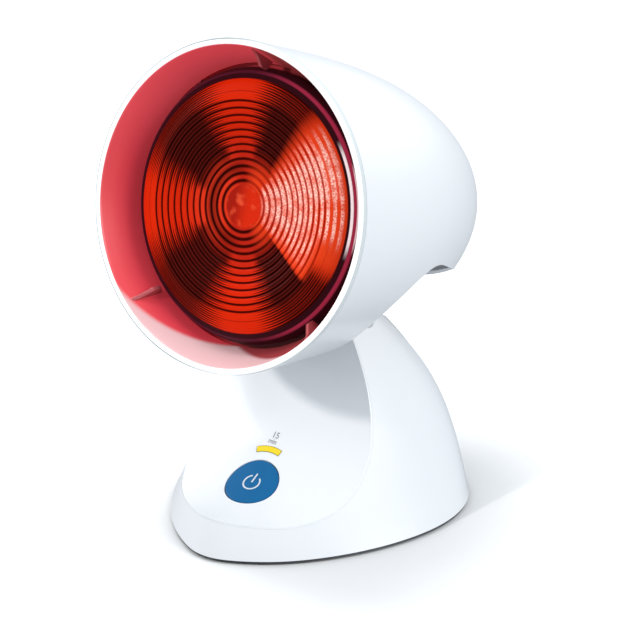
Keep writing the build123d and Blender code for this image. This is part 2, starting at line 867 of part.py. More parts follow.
with BuildPart() as lead_clip:
    # Saddle that holds the lead under the tube
    with BuildSketch(head_level(clip_depth)):
        with Locations((lead_offset, lead_run_drop - 1)):
            RectangleRounded(8, 9, radius=1.5)
        Circle(tube_bore + housing_wall + 0.02, mode=Mode.SUBTRACT)
        with Locations((lead_offset, lead_run_drop)):
            Circle(lead_radius + 0.1, mode=Mode.SUBTRACT)
    extrude(amount=clip_length)
save(lead_clip, "lead_clip")

# ======================= Base shell =======================


def quarter(power):
    """Points between the ends of a quarter of a rounded form of unit size."""
    steps = [pi / 12 * step for step in range(1, 6)]
    return [(cos(step) ** (2 / power), sin(step) ** (2 / power)) for step in steps]


def base_section(height, half, front, rear, inset):
    """Egg-shaped level section of the base, widest behind its middle."""
    half, front, rear = half - inset, front - inset, rear - inset
    widest = -front + widest_share * (front + rear)
    nose = [(half * x, widest - (widest + front) * y) for x, y in reversed(quarter(front_power))]
    back = [(half * x, widest + (rear - widest) * y) for x, y in quarter(rear_power)]
    with BuildSketch(Plane.XY.offset(height)) as section:
        with BuildLine():
            Spline((0, -front), *nose, (half, widest), *back, (0, rear), tangents=[(1, 0), (-1, 0)])
            mirror(about=Plane.YZ)
        make_face()
    return section.sketch.faces()[0]


with BuildPart() as bell_outer:
    loft(sections=[base_section(*station, 0) for station in base_stations])

with BuildPart() as bell_inner:
    loft(sections=[base_section(*station, base_wall) for station in base_stations])

with BuildPart() as bell_panel_room:
    loft(sections=[base_section(*station, base_wall + panel_inner_gap) for station in base_stations])


# The button sits where the dish's two bends meet, so its height sets where the neck starts to bend
neck_lean = radians(panel_neck_sweep)
neck_fall = panel_neck_bend * sin(neck_lean)
dish_fall = panel_dish_bend * (cos(radians(button_slope)) - sin(neck_lean))
panel_bend_height = button_height + neck_fall + dish_fall


def panel_layer(near, far):
    """Crowned slab of the front panel between two depths below its show surface."""
    start = Plane(origin=(0, -panel_neck_front, 125), x_dir=(1, 0, 0), z_dir=(0, 0, -1))
    half = panel_half_width

    def spot(depth, x):
        return (x, -(depth + panel_crown_radius - sqrt(panel_crown_radius**2 - x**2)))

    with BuildPart() as layer:
        with BuildLine(Plane.YZ):
            top = Line((-panel_neck_front, 125), (-panel_neck_front, panel_bend_height))
            neck = JernArc(top @ 1, (0, -1), panel_neck_bend, -panel_neck_sweep)
            dish = JernArc(neck @ 1, neck % 1, panel_dish_bend, panel_neck_sweep + button_slope - 90)
            foot = JernArc(dish @ 1, dish % 1, panel_foot_bend, -panel_foot_sweep)
            Line(foot @ 1, foot @ 1 + (foot % 1) * panel_run_out)
        with BuildSketch(start):
            with BuildLine():
                ThreePointArc(spot(near, -half), spot(near, 0), spot(near, half))
                Line(spot(near, half), spot(far, half))
                ThreePointArc(spot(far, half), spot(far, 0), spot(far, -half))
                Line(spot(far, -half), spot(near, -half))
            make_face()
        sweep()
    return layer.part


def knuckle_form(inset):
    """Side view of the neck's top: a round over the tilt axis with a sloping back."""
    radius = knuckle_radius - inset
    lean = radians(knuckle_shoulder_angle)
    shoulder = (radius * cos(lean), pivot_height + radius * sin(lean))
    foot_z = knuckle_foot - inset
    run = (shoulder[1] - foot_z) / cos(lean) * sin(lean)
    with BuildSketch() as form:
        with BuildLine():
            brow = ThreePointArc((-radius, pivot_height), (0, pivot_height + radius), shoulder)
            Polyline(
                brow @ 1,
                (shoulder[0] + run, foot_z),
                (120, foot_z),
                (120, -5),
                (-120, -5),
                (-120, foot_z),
                (-20 + inset, foot_z),
                brow @ 0,
            )
        make_face()
    return form.sketch


with BuildPart() as panel_front_room:
    # Everything well ahead of the panel
    with BuildSketch(Plane.YZ):
        with BuildLine():
            Polyline(
                (-30, 130), (-35, 60), (-60, 37), (-100, 34), (-140, 34), (-140, 130),
                close=True,
            )
        make_face()
    extrude(amount=90, both=True)

panel_cutter = panel_layer(-40, panel_lip + panel_seam)
panel_pocket = panel_layer(-10, panel_thick + panel_inner_gap)

with BuildPart() as base_room:
    # Hollow of the base, less the cheeks and the pivot bosses
    add(bell_inner.part)
    with BuildSketch(Plane.YZ):
        add(knuckle_form(base_wall))
    extrude(amount=90, both=True, mode=Mode.INTERSECT)
    with Locations(*[(side * (cheek_inner + cheek_thick / 2), 0, cheek_foot) for side in sides]):
        Box(cheek_thick, 120, 60, align=(Align.CENTER, Align.CENTER, Align.MIN), mode=Mode.SUBTRACT)
    with BuildSketch(*[pivot_plane(cheek_inner, side) for side in sides]):
        Circle(pivot_boss_radius)
    extrude(amount=20, mode=Mode.SUBTRACT)

with BuildPart() as hub_room:
    # Room between the cheeks for the hub and the swinging tongue
    with BuildSketch(Plane.YZ):
        with Locations((0, pivot_height)):
            Circle(hub_radius + hub_gap)
            for spread in (slot_front_angle, 0, -slot_front_angle, -slot_rear_angle):
                Rectangle(
                    2 * (hub_radius + hub_gap), 60,
                    rotation=spread, align=(Align.CENTER, Align.MIN),
                )
        with Locations((-panel_neck_front, pivot_height)):
            Rectangle(8, 20, align=(Align.MIN, Align.CENTER))
    extrude(amount=cheek_inner, both=True)


def stop_rib(angle_from, angle_to):
    """Ribs on both cheeks that catch the lug; angles from straight down, positive to the front."""
    reach = hub_radius + stop_lug_reach
    with BuildPart() as rib:
        with BuildSketch(pivot_side):
            with BuildLine():
                Polyline(
                    (0, 0),
                    (-3 * reach * sin(radians(angle_from)), -3 * reach * cos(radians(angle_from))),
                    (-3 * reach * sin(radians(angle_to)), -3 * reach * cos(radians(angle_to))),
                    close=True,
                )
            make_face()
            Circle(reach, mode=Mode.INTERSECT)
            Circle(hub_radius + hub_gap, mode=Mode.SUBTRACT)
        extrude(amount=cheek_inner + 0.5, both=True)
        with BuildSketch(pivot_side):
            Circle(3 * reach)
        extrude(amount=stop_lug_inner, both=True, mode=Mode.SUBTRACT)
    return rib.part


inlet_plane = Plane(origin=(0, base_stations[1][3], inlet_height), x_dir=(1, 0, 0), z_dir=(0, 1, 0))
front_stop = stop_lug_half_angle + tilt_up_travel + stop_gap_angle
rear_stop = stop_lug_half_angle + tilt_down_travel + stop_gap_angle
plate_top = plate_bottom + plate_thick

with BuildPart() as post_forms:
    with BuildSketch(Plane.XY.offset(plate_top + 0.1)):
        with Locations(*base_posts):
            Circle(base_post_radius)
    extrude(amount=60)
    add(bell_outer.part, mode=Mode.INTERSECT)

with BuildPart() as panel_pocket_room:
    add(panel_pocket)
    add(bell_inner.part, mode=Mode.INTERSECT)

# Moulded base shell: a flared foot that rises to the two cheeks of the tilt joint
with BuildPart() as base_shell:
    add(bell_outer.part)
    with BuildSketch(Plane.YZ):
        add(knuckle_form(0))
    extrude(amount=90, both=True, mode=Mode.INTERSECT)
    add(base_room.part, mode=Mode.SUBTRACT)
    add(hub_room.part, mode=Mode.SUBTRACT)
    add(stop_rib(front_stop, front_stop + stop_rib_angle))
    add(stop_rib(-rear_stop, -rear_stop - stop_rib_angle))
    add(post_forms.part)
    split(bisect_by=Plane.XY.offset(base_edge_height), keep=Keep.TOP)
    add(panel_cutter, mode=Mode.SUBTRACT)
    add(panel_front_room.part, mode=Mode.SUBTRACT)
    add(panel_pocket_room.part, mode=Mode.SUBTRACT)
    # Pivot bores and the wells for the screws' heads
    with BuildSketch(*[pivot_plane(cheek_inner - 1, side) for side in sides]):
        Circle(pivot_radius + pivot_gap)
    extrude(amount=20, mode=Mode.SUBTRACT)
    with BuildSketch(*[pivot_plane(cheek_outer, side) for side in sides]):
        Circle(pivot_head_radius + pivot_gap * 8)
    extrude(amount=20, mode=Mode.SUBTRACT)
    # Hole for the mains inlet, with a flat seat for its flange
    with BuildSketch(inlet_plane):
        Circle(inlet_radius + inlet_gap)
    extrude(amount=inlet_length, both=True, mode=Mode.SUBTRACT)
    with BuildSketch(inlet_plane):
        Circle(inlet_flange_radius + inlet_gap)
    extrude(amount=inlet_length, mode=Mode.SUBTRACT)
    # Pilot holes for the base plate's screws
    with BuildSketch(Plane.XY.offset(plate_top)):
        with Locations(*base_posts):
            Circle(screw_radius + screw_gap)
    extrude(amount=base_screw_length, mode=Mode.SUBTRACT)
save(base_shell, "base_shell")

# ======================= Front panel =======================

neck_turn = Vector(0, -panel_neck_front - panel_neck_bend, panel_bend_height)
dish_start = neck_turn + Vector(0, cos(neck_lean), -sin(neck_lean)) * panel_neck_bend
dish_centre = dish_start + Vector(0, -cos(neck_lean), sin(neck_lean)) * panel_dish_bend
slope = radians(button_slope)
button_out = Vector(0, -sin(slope), cos(slope))
button_spot = dish_centre - button_out * panel_dish_bend
# Local x is X, local y climbs the panel, local z points out of it
button_plane = Plane(origin=button_spot, x_dir=(1, 0, 0), z_dir=button_out)
board_plane = button_plane.offset(-board_depth)
board_fixings = [
    (x, control_board_shift + side * (control_board_length / 2 - 3.5))
    for x in (-standoff_x, standoff_x)
    for side in sides
]


def window_body(grow):
    """Upright body of the light window: a slot bent round the button, well through the panel."""
    half = window_width / 2 + grow
    reach = 2 * window_radius
    ends = [radians(window_turn + side * window_half_angle) for side in sides]
    with BuildPart() as body:
        with BuildSketch(button_plane.offset(8)):
            with BuildLine():
                Polyline((0, 0), *[(-reach * sin(end), reach * cos(end)) for end in ends], close=True)
            make_face()
            Circle(window_radius + half, mode=Mode.INTERSECT)
            Circle(window_radius - half, mode=Mode.SUBTRACT)
            with Locations(*[(-window_radius * sin(end), window_radius * cos(end)) for end in ends]):
                Circle(half)
        extrude(amount=-8 - board_depth + led_height + 0.3)
    return body.part


with BuildPart() as panel_standoffs:
    with BuildSketch(button_plane.offset(6)):
        with Locations(*board_fixings):
            Circle(standoff_radius)
    extrude(amount=-6 - board_depth)
    add(panel_layer(panel_lip + 0.6, 26), mode=Mode.INTERSECT)
    with BuildSketch(board_plane):
        with Locations(*board_fixings):
            Circle(board_screw_radius + screw_gap)
    extrude(amount=board_screw_length, mode=Mode.SUBTRACT)

with BuildPart() as panel_body:
    add(bell_panel_room.part)
    add(panel_layer(panel_lip, panel_thick), mode=Mode.INTERSECT)

# Show panel: a thin lip over the shell's cut edge, a body that drops inside it, board standoffs
with BuildPart() as front_panel:
    add(bell_outer.part)
    add(panel_layer(0, panel_lip), mode=Mode.INTERSECT)
    add(panel_body.part)
    split(bisect_by=Plane.XY.offset(panel_top), keep=Keep.BOTTOM)
    add(panel_standoffs.part)
    with BuildSketch(button_plane.offset(8)):
        Circle(button_radius + button_gap)
    extrude(amount=-16, mode=Mode.SUBTRACT)
    add(window_body(window_gap), mode=Mode.SUBTRACT)
save(front_panel, "front_panel")

with BuildPart() as light_guide:
    add(window_body(0))
    add(panel_layer(-panel_seam, 26), mode=Mode.INTERSECT)
save(light_guide, "light_guide")

# ======================= Button and switch =======================

plunger_top = board_depth - switch_height - plunger_length / 2
# Round button that follows the panel's curve, with a collar below the panel and a stem
with BuildPart() as power_button:
    with BuildSketch(button_plane.offset(4)):
        Circle(button_radius)
    extrude(amount=-4 - button_skirt_end)
    add(panel_layer(-button_rise, 26), mode=Mode.INTERSECT)
    with BuildSketch(button_plane.offset(-button_flange_depth)):
        Circle(button_radius + button_flange)
    extrude(amount=button_flange_depth - button_skirt_end)
    with BuildSketch(button_plane.offset(-button_wall - 0.4)):
        Circle(button_radius - button_wall)
    extrude(amount=-6, mode=Mode.SUBTRACT)
    with BuildSketch(button_plane.offset(-button_wall)):
        Circle(button_stem_radius)
    extrude(amount=button_wall - plunger_top)
save(power_button, "power_button")

with BuildPart() as switch_plunger:
    with BuildSketch(button_plane.offset(-plunger_top)):
        Circle(plunger_radius)
    extrude(amount=-plunger_length)
save(switch_plunger, "switch_plunger")

with BuildPart() as tact_switch:
    with BuildSketch(board_plane):
        Rectangle(switch_width, switch_width)
    extrude(amount=switch_height)
    with BuildSketch(board_plane.offset(switch_height)):
        Circle(plunger_radius + plunger_gap)
    extrude(amount=-plunger_length / 2 - button_travel - 0.2, mode=Mode.SUBTRACT)
save(tact_switch, "tact_switch")

# ======================= Control board =======================

with BuildPart() as control_board:
    with BuildSketch(board_plane):
        with Locations((0, control_board_shift)):
            RectangleRounded(control_board_width, control_board_length, radius=1.5)
        with Locations(*board_fixings):
            Circle(board_screw_radius + screw_gap, mode=Mode.SUBTRACT)
    extrude(amount=-board_thick)
save(control_board, "control_board")

with BuildPart() as control_board_screws:
    with BuildSketch(board_plane.offset(-board_thick)):
        with Locations(*board_fixings):
            Circle(board_screw_head_radius)
    extrude(amount=-board_screw_head_height)
    with BuildSketch(board_plane.offset(-board_thick)):
        with Locations(*board_fixings):
            Circle(board_screw_radius)
    extrude(amount=board_screw_length)
save(control_board_screws, "control_board_screws")

with BuildPart() as status_led:
    with BuildSketch(board_plane):
        turned = radians(window_turn)
        with Locations((-window_radius * sin(turned), window_radius * cos(turned))):
            Circle(led_radius)
    extrude(amount=led_height)
    fillet(status_led.faces().sort_by(Axis(board_plane.origin, board_plane.z_dir))[-1].edges(), radius=1.2)
save(status_led, "status_led")

# ======================= Base plate, feet and screws =======================

power_board_posts = [
    (x, power_board_y + side * (power_board_length / 2 - board_post_inset))
    for x in (board_post_inset - power_board_width / 2, power_board_width / 2 - board_post_inset)
    for side in sides
]

with BuildPart() as plate_flange:
    loft(sections=[base_section(*station, plate_inset) for station in base_stations])
    with Locations((0, 0, plate_bottom)):
        Box(200, 300, base_edge_height - panel_seam - plate_bottom,
            align=(Align.CENTER, Align.CENTER, Align.MIN), mode=Mode.INTERSECT)

# Dark plate under the shell: a narrow flange below its edge, a tray that fits inside it
with BuildPart() as base_plate:
    add(bell_panel_room.part)
    with Locations((0, 0, plate_bottom)):
        Box(200, 300, plate_thick, align=(Align.CENTER, Align.CENTER, Align.MIN), mode=Mode.INTERSECT)
    add(plate_flange.part)
    with BuildSketch(Plane.XY.offset(plate_bottom + 1)):
        with Locations(*power_board_posts):
            Circle(board_post_radius)
    extrude(amount=power_board_height - plate_bottom - 1)
    with BuildSketch(Plane.XY.offset(power_board_height)):
        with Locations(*power_board_posts):
            Circle(board_screw_radius + screw_gap)
    extrude(amount=-board_screw_length, mode=Mode.SUBTRACT)
    with BuildSketch(Plane.XY):
        with Locations(*base_pads):
            Circle(foot_pad_radius + pad_gap)
    extrude(amount=plate_bottom + foot_pad_recess, mode=Mode.SUBTRACT)
    with BuildSketch(Plane.XY):
        with Locations(*base_posts):
            Circle(screw_radius + screw_gap)
    extrude(amount=plate_top + 1, mode=Mode.SUBTRACT)
    with BuildSketch(Plane.XY):
        with Locations(*base_posts):
            Circle(screw_head_radius + screw_gap)
    extrude(amount=plate_bottom + 1.4, mode=Mode.SUBTRACT)
    # Cooling slots under the power board
    with BuildSketch(Plane.XY):
        with Locations((0, power_board_y)):
            with GridLocations(7, 0, 5, 1):
                SlotOverall(22, 2.6, rotation=90)
    extrude(amount=plate_top + 1, mode=Mode.SUBTRACT)
save(base_plate, "base_plate")

with BuildPart() as rubber_feet:
    with BuildSketch(Plane.XY):
        with Locations(*base_pads):
            Circle(foot_pad_radius)
    extrude(amount=plate_bottom + foot_pad_recess)
    chamfer(rubber_feet.faces().group_by(Axis.Z)[0].edges(), length=0.5)
save(rubber_feet, "rubber_feet")

with BuildPart() as base_screws:
    with BuildSketch(Plane.XY.offset(plate_bottom + 1.4)):
        with Locations(*base_posts):
            Circle(screw_head_radius)
    extrude(amount=-1.3)
    with BuildSketch(Plane.XY.offset(plate_bottom + 1.4)):
        with Locations(*base_posts):
            Circle(screw_radius)
    extrude(amount=base_screw_length - 1)
    with BuildSketch(Plane.XY.offset(plate_bottom + 0.1)):
        with Locations(*base_posts):
            Rectangle(slot_width, screw_head_radius * 1.4)
            Rectangle(screw_head_radius * 1.4, slot_width)
    extrude(amount=slot_depth, mode=Mode.SUBTRACT)
save(base_screws, "base_screws")

# ======================= Power board =======================

board_top = power_board_height + board_thick
with BuildPart() as power_board:
    with BuildSketch(Plane.XY.offset(power_board_height)):
        with Locations((0, power_board_y)):
            RectangleRounded(power_board_width, power_board_length, radius=2)
        with Locations(*power_board_posts):
            Circle(board_screw_radius + screw_gap, mode=Mode.SUBTRACT)
    extrude(amount=board_thick)
save(power_board, "power_board")

with BuildPart() as power_board_screws:
    with BuildSketch(Plane.XY.offset(board_top)):
        with Locations(*power_board_posts):
            Circle(board_screw_head_radius)
    extrude(amount=board_screw_head_height)
    with BuildSketch(Plane.XY.offset(board_top)):
        with Locations(*power_board_posts):
            Circle(board_screw_radius)
    extrude(amount=-board_screw_length)
save(power_board_screws, "power_board_screws")

with BuildPart() as relay:
    with Locations((18, 8, board_top)):
        Box(15.5, 19, 15, align=(Align.CENTER, Align.CENTER, Align.MIN))
    fillet(relay.edges().filter_by(Axis.Z), radius=1)
    chamfer(relay.faces().sort_by(Axis.Z)[-1].edges(), length=0.6)
save(relay, "relay")

with BuildPart() as film_capacitor:
    with Locations((-24, 6, board_top)):
        Box(7, 18, 14, align=(Align.CENTER, Align.CENTER, Align.MIN))
    fillet(film_capacitor.edges().filter_by(Axis.Z), radius=0.8)
save(film_capacitor, "film_capacitor")

with BuildPart() as electrolytic_capacitor:
    with BuildSketch(Plane.XY.offset(board_top)):
        with Locations((-12, 0)):
            Circle(5)
    extrude(amount=12)
    fillet(electrolytic_capacitor.faces().sort_by(Axis.Z)[-1].edges(), radius=0.6)
save(electrolytic_capacitor, "electrolytic_capacitor")

with BuildPart() as fuse:
    with BuildSketch(Plane.XY.offset(board_top)):
        with Locations((2, -2)):
            Circle(4.2)
    extrude(amount=8)
    fillet(fuse.faces().sort_by(Axis.Z)[-1].edges(), radius=0.5)
save(fuse, "fuse")

terminal_spot = (-7.5, 22)
terminal_height = 10.0
with BuildPart() as terminal_block:
    with Locations((*terminal_spot, board_top)):
        Box(20, 9, terminal_height, align=(Align.CENTER, Align.CENTER, Align.MIN))
    # Screw wells on top, wire mouths at the rear, and the lamp lead's socket
    with Locations((terminal_spot[0] - 7.5, terminal_spot[1], board_top + terminal_height),
                   (terminal_spot[0] - 2.5, terminal_spot[1], board_top + terminal_height),
                   (terminal_spot[0] + 7.5, terminal_spot[1], board_top + terminal_height)):
        Hole(1.6, 3)
    with BuildSketch(Plane.XZ.offset(-terminal_spot[1] - 4.5)):
        with Locations((terminal_spot[0] - 7.5, board_top + 4), (terminal_spot[0] - 2.5, board_top + 4)):
            Circle(1.7)
    extrude(amount=5, mode=Mode.SUBTRACT)
    with BuildSketch(Plane.XY.offset(board_top + terminal_height)):
        with Locations((-lead_offset, terminal_spot[1])):
            Circle(lead_radius + pad_gap)
    extrude(amount=-5, mode=Mode.SUBTRACT)
save(terminal_block, "terminal_block")

# ======================= Base leads and inlet =======================

with BuildPart() as lead_lower:
    with BuildLine() as lower_path:
        FilletPolyline(
            (-lead_offset, terminal_spot[1], board_top + terminal_height - 4.5),
            (-lead_offset, terminal_spot[1], 38),
            (-lead_offset, 4, 58),
            (-lead_offset, 0, pivot_height),
            (0, 0, pivot_height),
            radius=lead_bend,
        )
    with BuildSketch(Plane(origin=lower_path.line @ 0, z_dir=(0, 0, 1))):
        Circle(lead_radius)
    sweep()
save(lead_lower, "lead_lower")

ribbon_x = 3.0
with BuildPart() as ribbon_lead:
    with BuildLine(Plane(origin=(ribbon_x, 0, 0), x_dir=(0, 1, 0), z_dir=(1, 0, 0))) as ribbon_path:
        ribbon_from = board_plane.origin + board_plane.y_dir * (control_board_shift + 18)
        ribbon_up = ribbon_from + button_out * 7
        FilletPolyline(
            (ribbon_from.Y, ribbon_from.Z),
            (ribbon_up.Y, ribbon_up.Z),
            (-11, ribbon_up.Z - 1),
            (-11, board_top),
            radius=2.5,
        )
    with BuildSketch(Plane(origin=ribbon_path.line @ 0, x_dir=(1, 0, 0), z_dir=ribbon_path.line % 0)):
        Rectangle(8, 1)
    sweep()
save(ribbon_lead, "ribbon_lead")

with BuildPart() as cord_gland:
    # Bush pushed through the rear wall, with a flange outside and a lip inside
    with BuildSketch(inlet_plane):
        Circle(inlet_flange_radius)
    extrude(amount=inlet_flange_thick)
    fillet(cord_gland.faces().sort_by(Axis.Y)[-1].edges(), radius=0.7)
    with BuildSketch(inlet_plane):
        Circle(inlet_radius)
    extrude(amount=-inlet_length)
    with BuildSketch(inlet_plane.offset(inlet_flange_thick)):
        Circle(inlet_bore)
    extrude(amount=-inlet_flange_thick - inlet_length, mode=Mode.SUBTRACT)
save(cord_gland, "cord_gland")
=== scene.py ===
import bpy
from math import cos, pi, radians, sin, sqrt
from mathutils import Matrix, Vector


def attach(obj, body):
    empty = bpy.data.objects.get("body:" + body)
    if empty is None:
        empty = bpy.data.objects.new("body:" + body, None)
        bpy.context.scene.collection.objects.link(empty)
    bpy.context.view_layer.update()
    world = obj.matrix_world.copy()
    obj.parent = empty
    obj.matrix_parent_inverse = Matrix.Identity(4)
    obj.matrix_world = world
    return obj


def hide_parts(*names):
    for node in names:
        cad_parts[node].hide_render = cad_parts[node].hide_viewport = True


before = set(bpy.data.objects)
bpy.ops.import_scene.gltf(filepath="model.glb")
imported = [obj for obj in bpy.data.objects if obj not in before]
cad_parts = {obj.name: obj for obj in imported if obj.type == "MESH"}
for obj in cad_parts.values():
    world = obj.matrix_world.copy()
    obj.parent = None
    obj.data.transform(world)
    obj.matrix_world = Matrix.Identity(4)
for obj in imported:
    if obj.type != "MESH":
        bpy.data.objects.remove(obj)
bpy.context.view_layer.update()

# ---------------------------------------------------------------------------
# Camera
# A long lens from the lamp's front right, well above the table, so that the near side of the
# shade and the whole mouth show.

camera_spot = Vector((0.83033, -1.08237, 0.70030))
camera_aim = Vector((0.05148, -0.07150, 0.12452))
camera_turn = (camera_aim - camera_spot).to_track_quat("-Z", "Y").to_euler()
bpy.ops.object.camera_add(location=camera_spot, rotation=camera_turn)
camera = bpy.context.object
camera.name = "camera"
camera.data.sensor_width = 36
camera.data.lens = 184.75
camera.data.clip_end = 30
bpy.context.scene.camera = camera

# ---------------------------------------------------------------------------
# Table top and light
# A plain white table in a pale room: a small front light that throws the head's shadow on
# the panel, a soft light overhead and a fill from each side.

table_tone, table_second_tone = (0.80, 0.80, 0.80), (0.83, 0.83, 0.83)
table_bounce_tone = (0.30, 0.31, 0.33)


def blend_tone(tree, share, first, second):
    """Mix of two tones by a share; tones are sockets or plain colours."""
    node = tree.nodes.new("ShaderNodeMix")
    node.data_type = "RGBA"
    tree.links.new(share, node.inputs["Factor"])
    for socket, tone in (("A", first), ("B", second)):
        if isinstance(tone, tuple):
            node.inputs[socket].default_value = (*tone, 1)
        else:
            tree.links.new(tone, node.inputs[socket])
    return node.outputs["Result"]


bpy.ops.mesh.primitive_plane_add(size=12, location=(0, 0, -0.0002))
table = bpy.context.object
table.name = "table_top"
white_table = bpy.data.materials.new("white_table")
white_table.use_nodes = True
table_tree = white_table.node_tree
table_place = table_tree.nodes.new("ShaderNodeTexCoord")
table_cloud = table_tree.nodes.new("ShaderNodeTexNoise")
table_cloud.inputs["Scale"].default_value = 3
table_tree.links.new(table_place.outputs["Object"], table_cloud.inputs["Vector"])
shown_tone = blend_tone(table_tree, table_cloud.outputs["Fac"], table_tone, table_second_tone)
# the table throws back less light than it shows, as a sheet of paper in a light tent does
table_ray = table_tree.nodes.new("ShaderNodeLightPath")
shown_tone = blend_tone(table_tree, table_ray.outputs["Is Camera Ray"], table_bounce_tone, shown_tone)
table_shader = table_tree.nodes["Principled BSDF"]
table_tree.links.new(shown_tone, table_shader.inputs["Base Color"])
table_shader.inputs["Roughness"].default_value = 0.9
table_shader.inputs["Specular IOR Level"].default_value = 0.1
table.data.materials.append(white_table)


def soft_light(name, place, aim_height, size, power, tint=(1.0, 1.0, 1.0)):
    """Square studio light at a place, turned towards a height over the frame's origin."""
    turn = (Vector((0, 0, aim_height)) - Vector(place)).to_track_quat("-Z", "Y").to_euler()
    bpy.ops.object.light_add(type="AREA", location=place, rotation=turn)
    light = bpy.context.object
    light.name = name
    light.data.shape = "SQUARE"
    light.data.size = size
    light.data.energy = power
    light.data.color = tint
    return light


front_key = soft_light("light_front_key", (-0.56, -1.82, 1.12), 0.08, 0.14, 16.5, (1.0, 0.975, 0.945))
# so small a light would show as a hard spot in the glossy white
front_key.visible_glossy = False
soft_light("light_overhead", (-0.5, 0.2, 1.9), 0.10, 1.0, 25.5)
soft_light("light_right", (1.75, 0.1, 1.15), 0.12, 1.2, 27)
soft_light("light_left", (-1.8, -0.5, 0.9), 0.12, 1.2, 10)

room = bpy.data.worlds.new("bright_room")
bpy.context.scene.world = room
room.use_nodes = True
room_light = room.node_tree.nodes["Background"]
room_light.inputs["Color"].default_value = (0.82, 0.915, 1.0, 1)
room_light.inputs["Strength"].default_value = 0.56
bpy.context.scene.view_settings.view_transform = "Standard"

# ---------------------------------------------------------------------------
# Base plate, feet and plate screws
# Dark plate of injection-moulded plastic, screwed up into the shell's posts, on four glued
# rubber pads. Only its thin edge shows under the shell.


def surface_grain():
    """Fine surface of a part: two close tones in soft clouds, uneven gloss and a small relief."""
    group = bpy.data.node_groups.new("surface_grain", "ShaderNodeTree")
    given_kinds = {
        "Tone": "NodeSocketColor", "Second Tone": "NodeSocketColor", "Cloud Scale": "NodeSocketFloat",
        "Grain Scale": "NodeSocketFloat", "Relief": "NodeSocketFloat", "Roughness": "NodeSocketFloat",
        "Roughness Spread": "NodeSocketFloat",
    }
    result_kinds = {"Color": "NodeSocketColor", "Roughness": "NodeSocketFloat", "Normal": "NodeSocketVector"}
    for side, kinds in (("INPUT", given_kinds), ("OUTPUT", result_kinds)):
        for name, kind in kinds.items():
            group.interface.new_socket(name=name, in_out=side, socket_type=kind)
    nodes, links = group.nodes, group.links
    given, result = nodes.new("NodeGroupInput"), nodes.new("NodeGroupOutput")
    place = nodes.new("ShaderNodeTexCoord")
    cloud, grain = nodes.new("ShaderNodeTexNoise"), nodes.new("ShaderNodeTexNoise")
    cloud.inputs["Detail"].default_value = 3
    grain.inputs["Detail"].default_value = 2
    links.new(place.outputs["Object"], cloud.inputs["Vector"])
    links.new(place.outputs["Object"], grain.inputs["Vector"])
    links.new(given.outputs["Cloud Scale"], cloud.inputs["Scale"])
    links.new(given.outputs["Grain Scale"], grain.inputs["Scale"])
    tone = blend_tone(group, cloud.outputs["Fac"], given.outputs["Tone"], given.outputs["Second Tone"])
    uneven, bump = nodes.new("ShaderNodeMath"), nodes.new("ShaderNodeBump")
    uneven.operation = "MULTIPLY_ADD"
    links.new(cloud.outputs["Fac"], uneven.inputs[0])
    links.new(given.outputs["Roughness Spread"], uneven.inputs[1])
    links.new(given.outputs["Roughness"], uneven.inputs[2])
    links.new(grain.outputs["Fac"], bump.inputs["Height"])
    links.new(given.outputs["Relief"], bump.inputs["Distance"])
    links.new(tone, result.inputs["Color"])
    links.new(uneven.outputs["Value"], result.inputs["Roughness"])
    links.new(bump.outputs["Normal"], result.inputs["Normal"])
    return group


grain_group = surface_grain()


def finish(name, tone, second, roughness, spread=0.06, cloud=40.0, grain=1800.0, relief=0.00001,
           **sockets):
    """Material with the fine surface; further values go on the shader's own sockets."""
    material = bpy.data.materials.new(name)
    material.use_nodes = True
    nodes, links = material.node_tree.nodes, material.node_tree.links
    shader = nodes["Principled BSDF"]
    surface = nodes.new("ShaderNodeGroup")
    surface.node_tree = grain_group
    values = {
        "Tone": (*tone, 1), "Second Tone": (*second, 1), "Cloud Scale": cloud, "Grain Scale": grain,
        "Relief": relief, "Roughness": roughness, "Roughness Spread": spread,
    }
    for socket, value in values.items():
        surface.inputs[socket].default_value = value
    links.new(surface.outputs["Color"], shader.inputs["Base Color"])
    links.new(surface.outputs["Roughness"], shader.inputs["Roughness"])
    links.new(surface.outputs["Normal"], shader.inputs["Normal"])
    for socket, value in sockets.items():
        shader.inputs[socket.replace("_", " ")].default_value = value
    return material


def dress(material, *names):
    """Give CAD nodes their material."""
    for name in names:
        for own_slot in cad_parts[name].material_slots:
            own_slot.material = material


dark_plastic = finish("dark_base_plastic", (0.035, 0.037, 0.04), (0.05, 0.052, 0.056), 0.5,
                      grain=2600, relief=0.00003)
pad_rubber = finish("pad_rubber", (0.02, 0.02, 0.021), (0.03, 0.03, 0.031), 0.8,
                    grain=4000, relief=0.00004)
zinc_steel = finish("zinc_plated_steel", (0.56, 0.57, 0.58), (0.45, 0.46, 0.48), 0.28,
                    spread=0.15, cloud=300, grain=5000, relief=0.000006, Metallic=1.0)
dress(dark_plastic, "base_plate")
dress(pad_rubber, "rubber_feet")
dress(zinc_steel, "base_screws")

# ---------------------------------------------------------------------------
# Power board, control board and their parts
# Fibreglass boards under green varnish on posts: relay, fuse, capacitors and terminal block
# are soldered to the power board, the button's switch to the control board. The cord's gland
# and the lead's clip are moulded of the same black plastic as the relay's case.

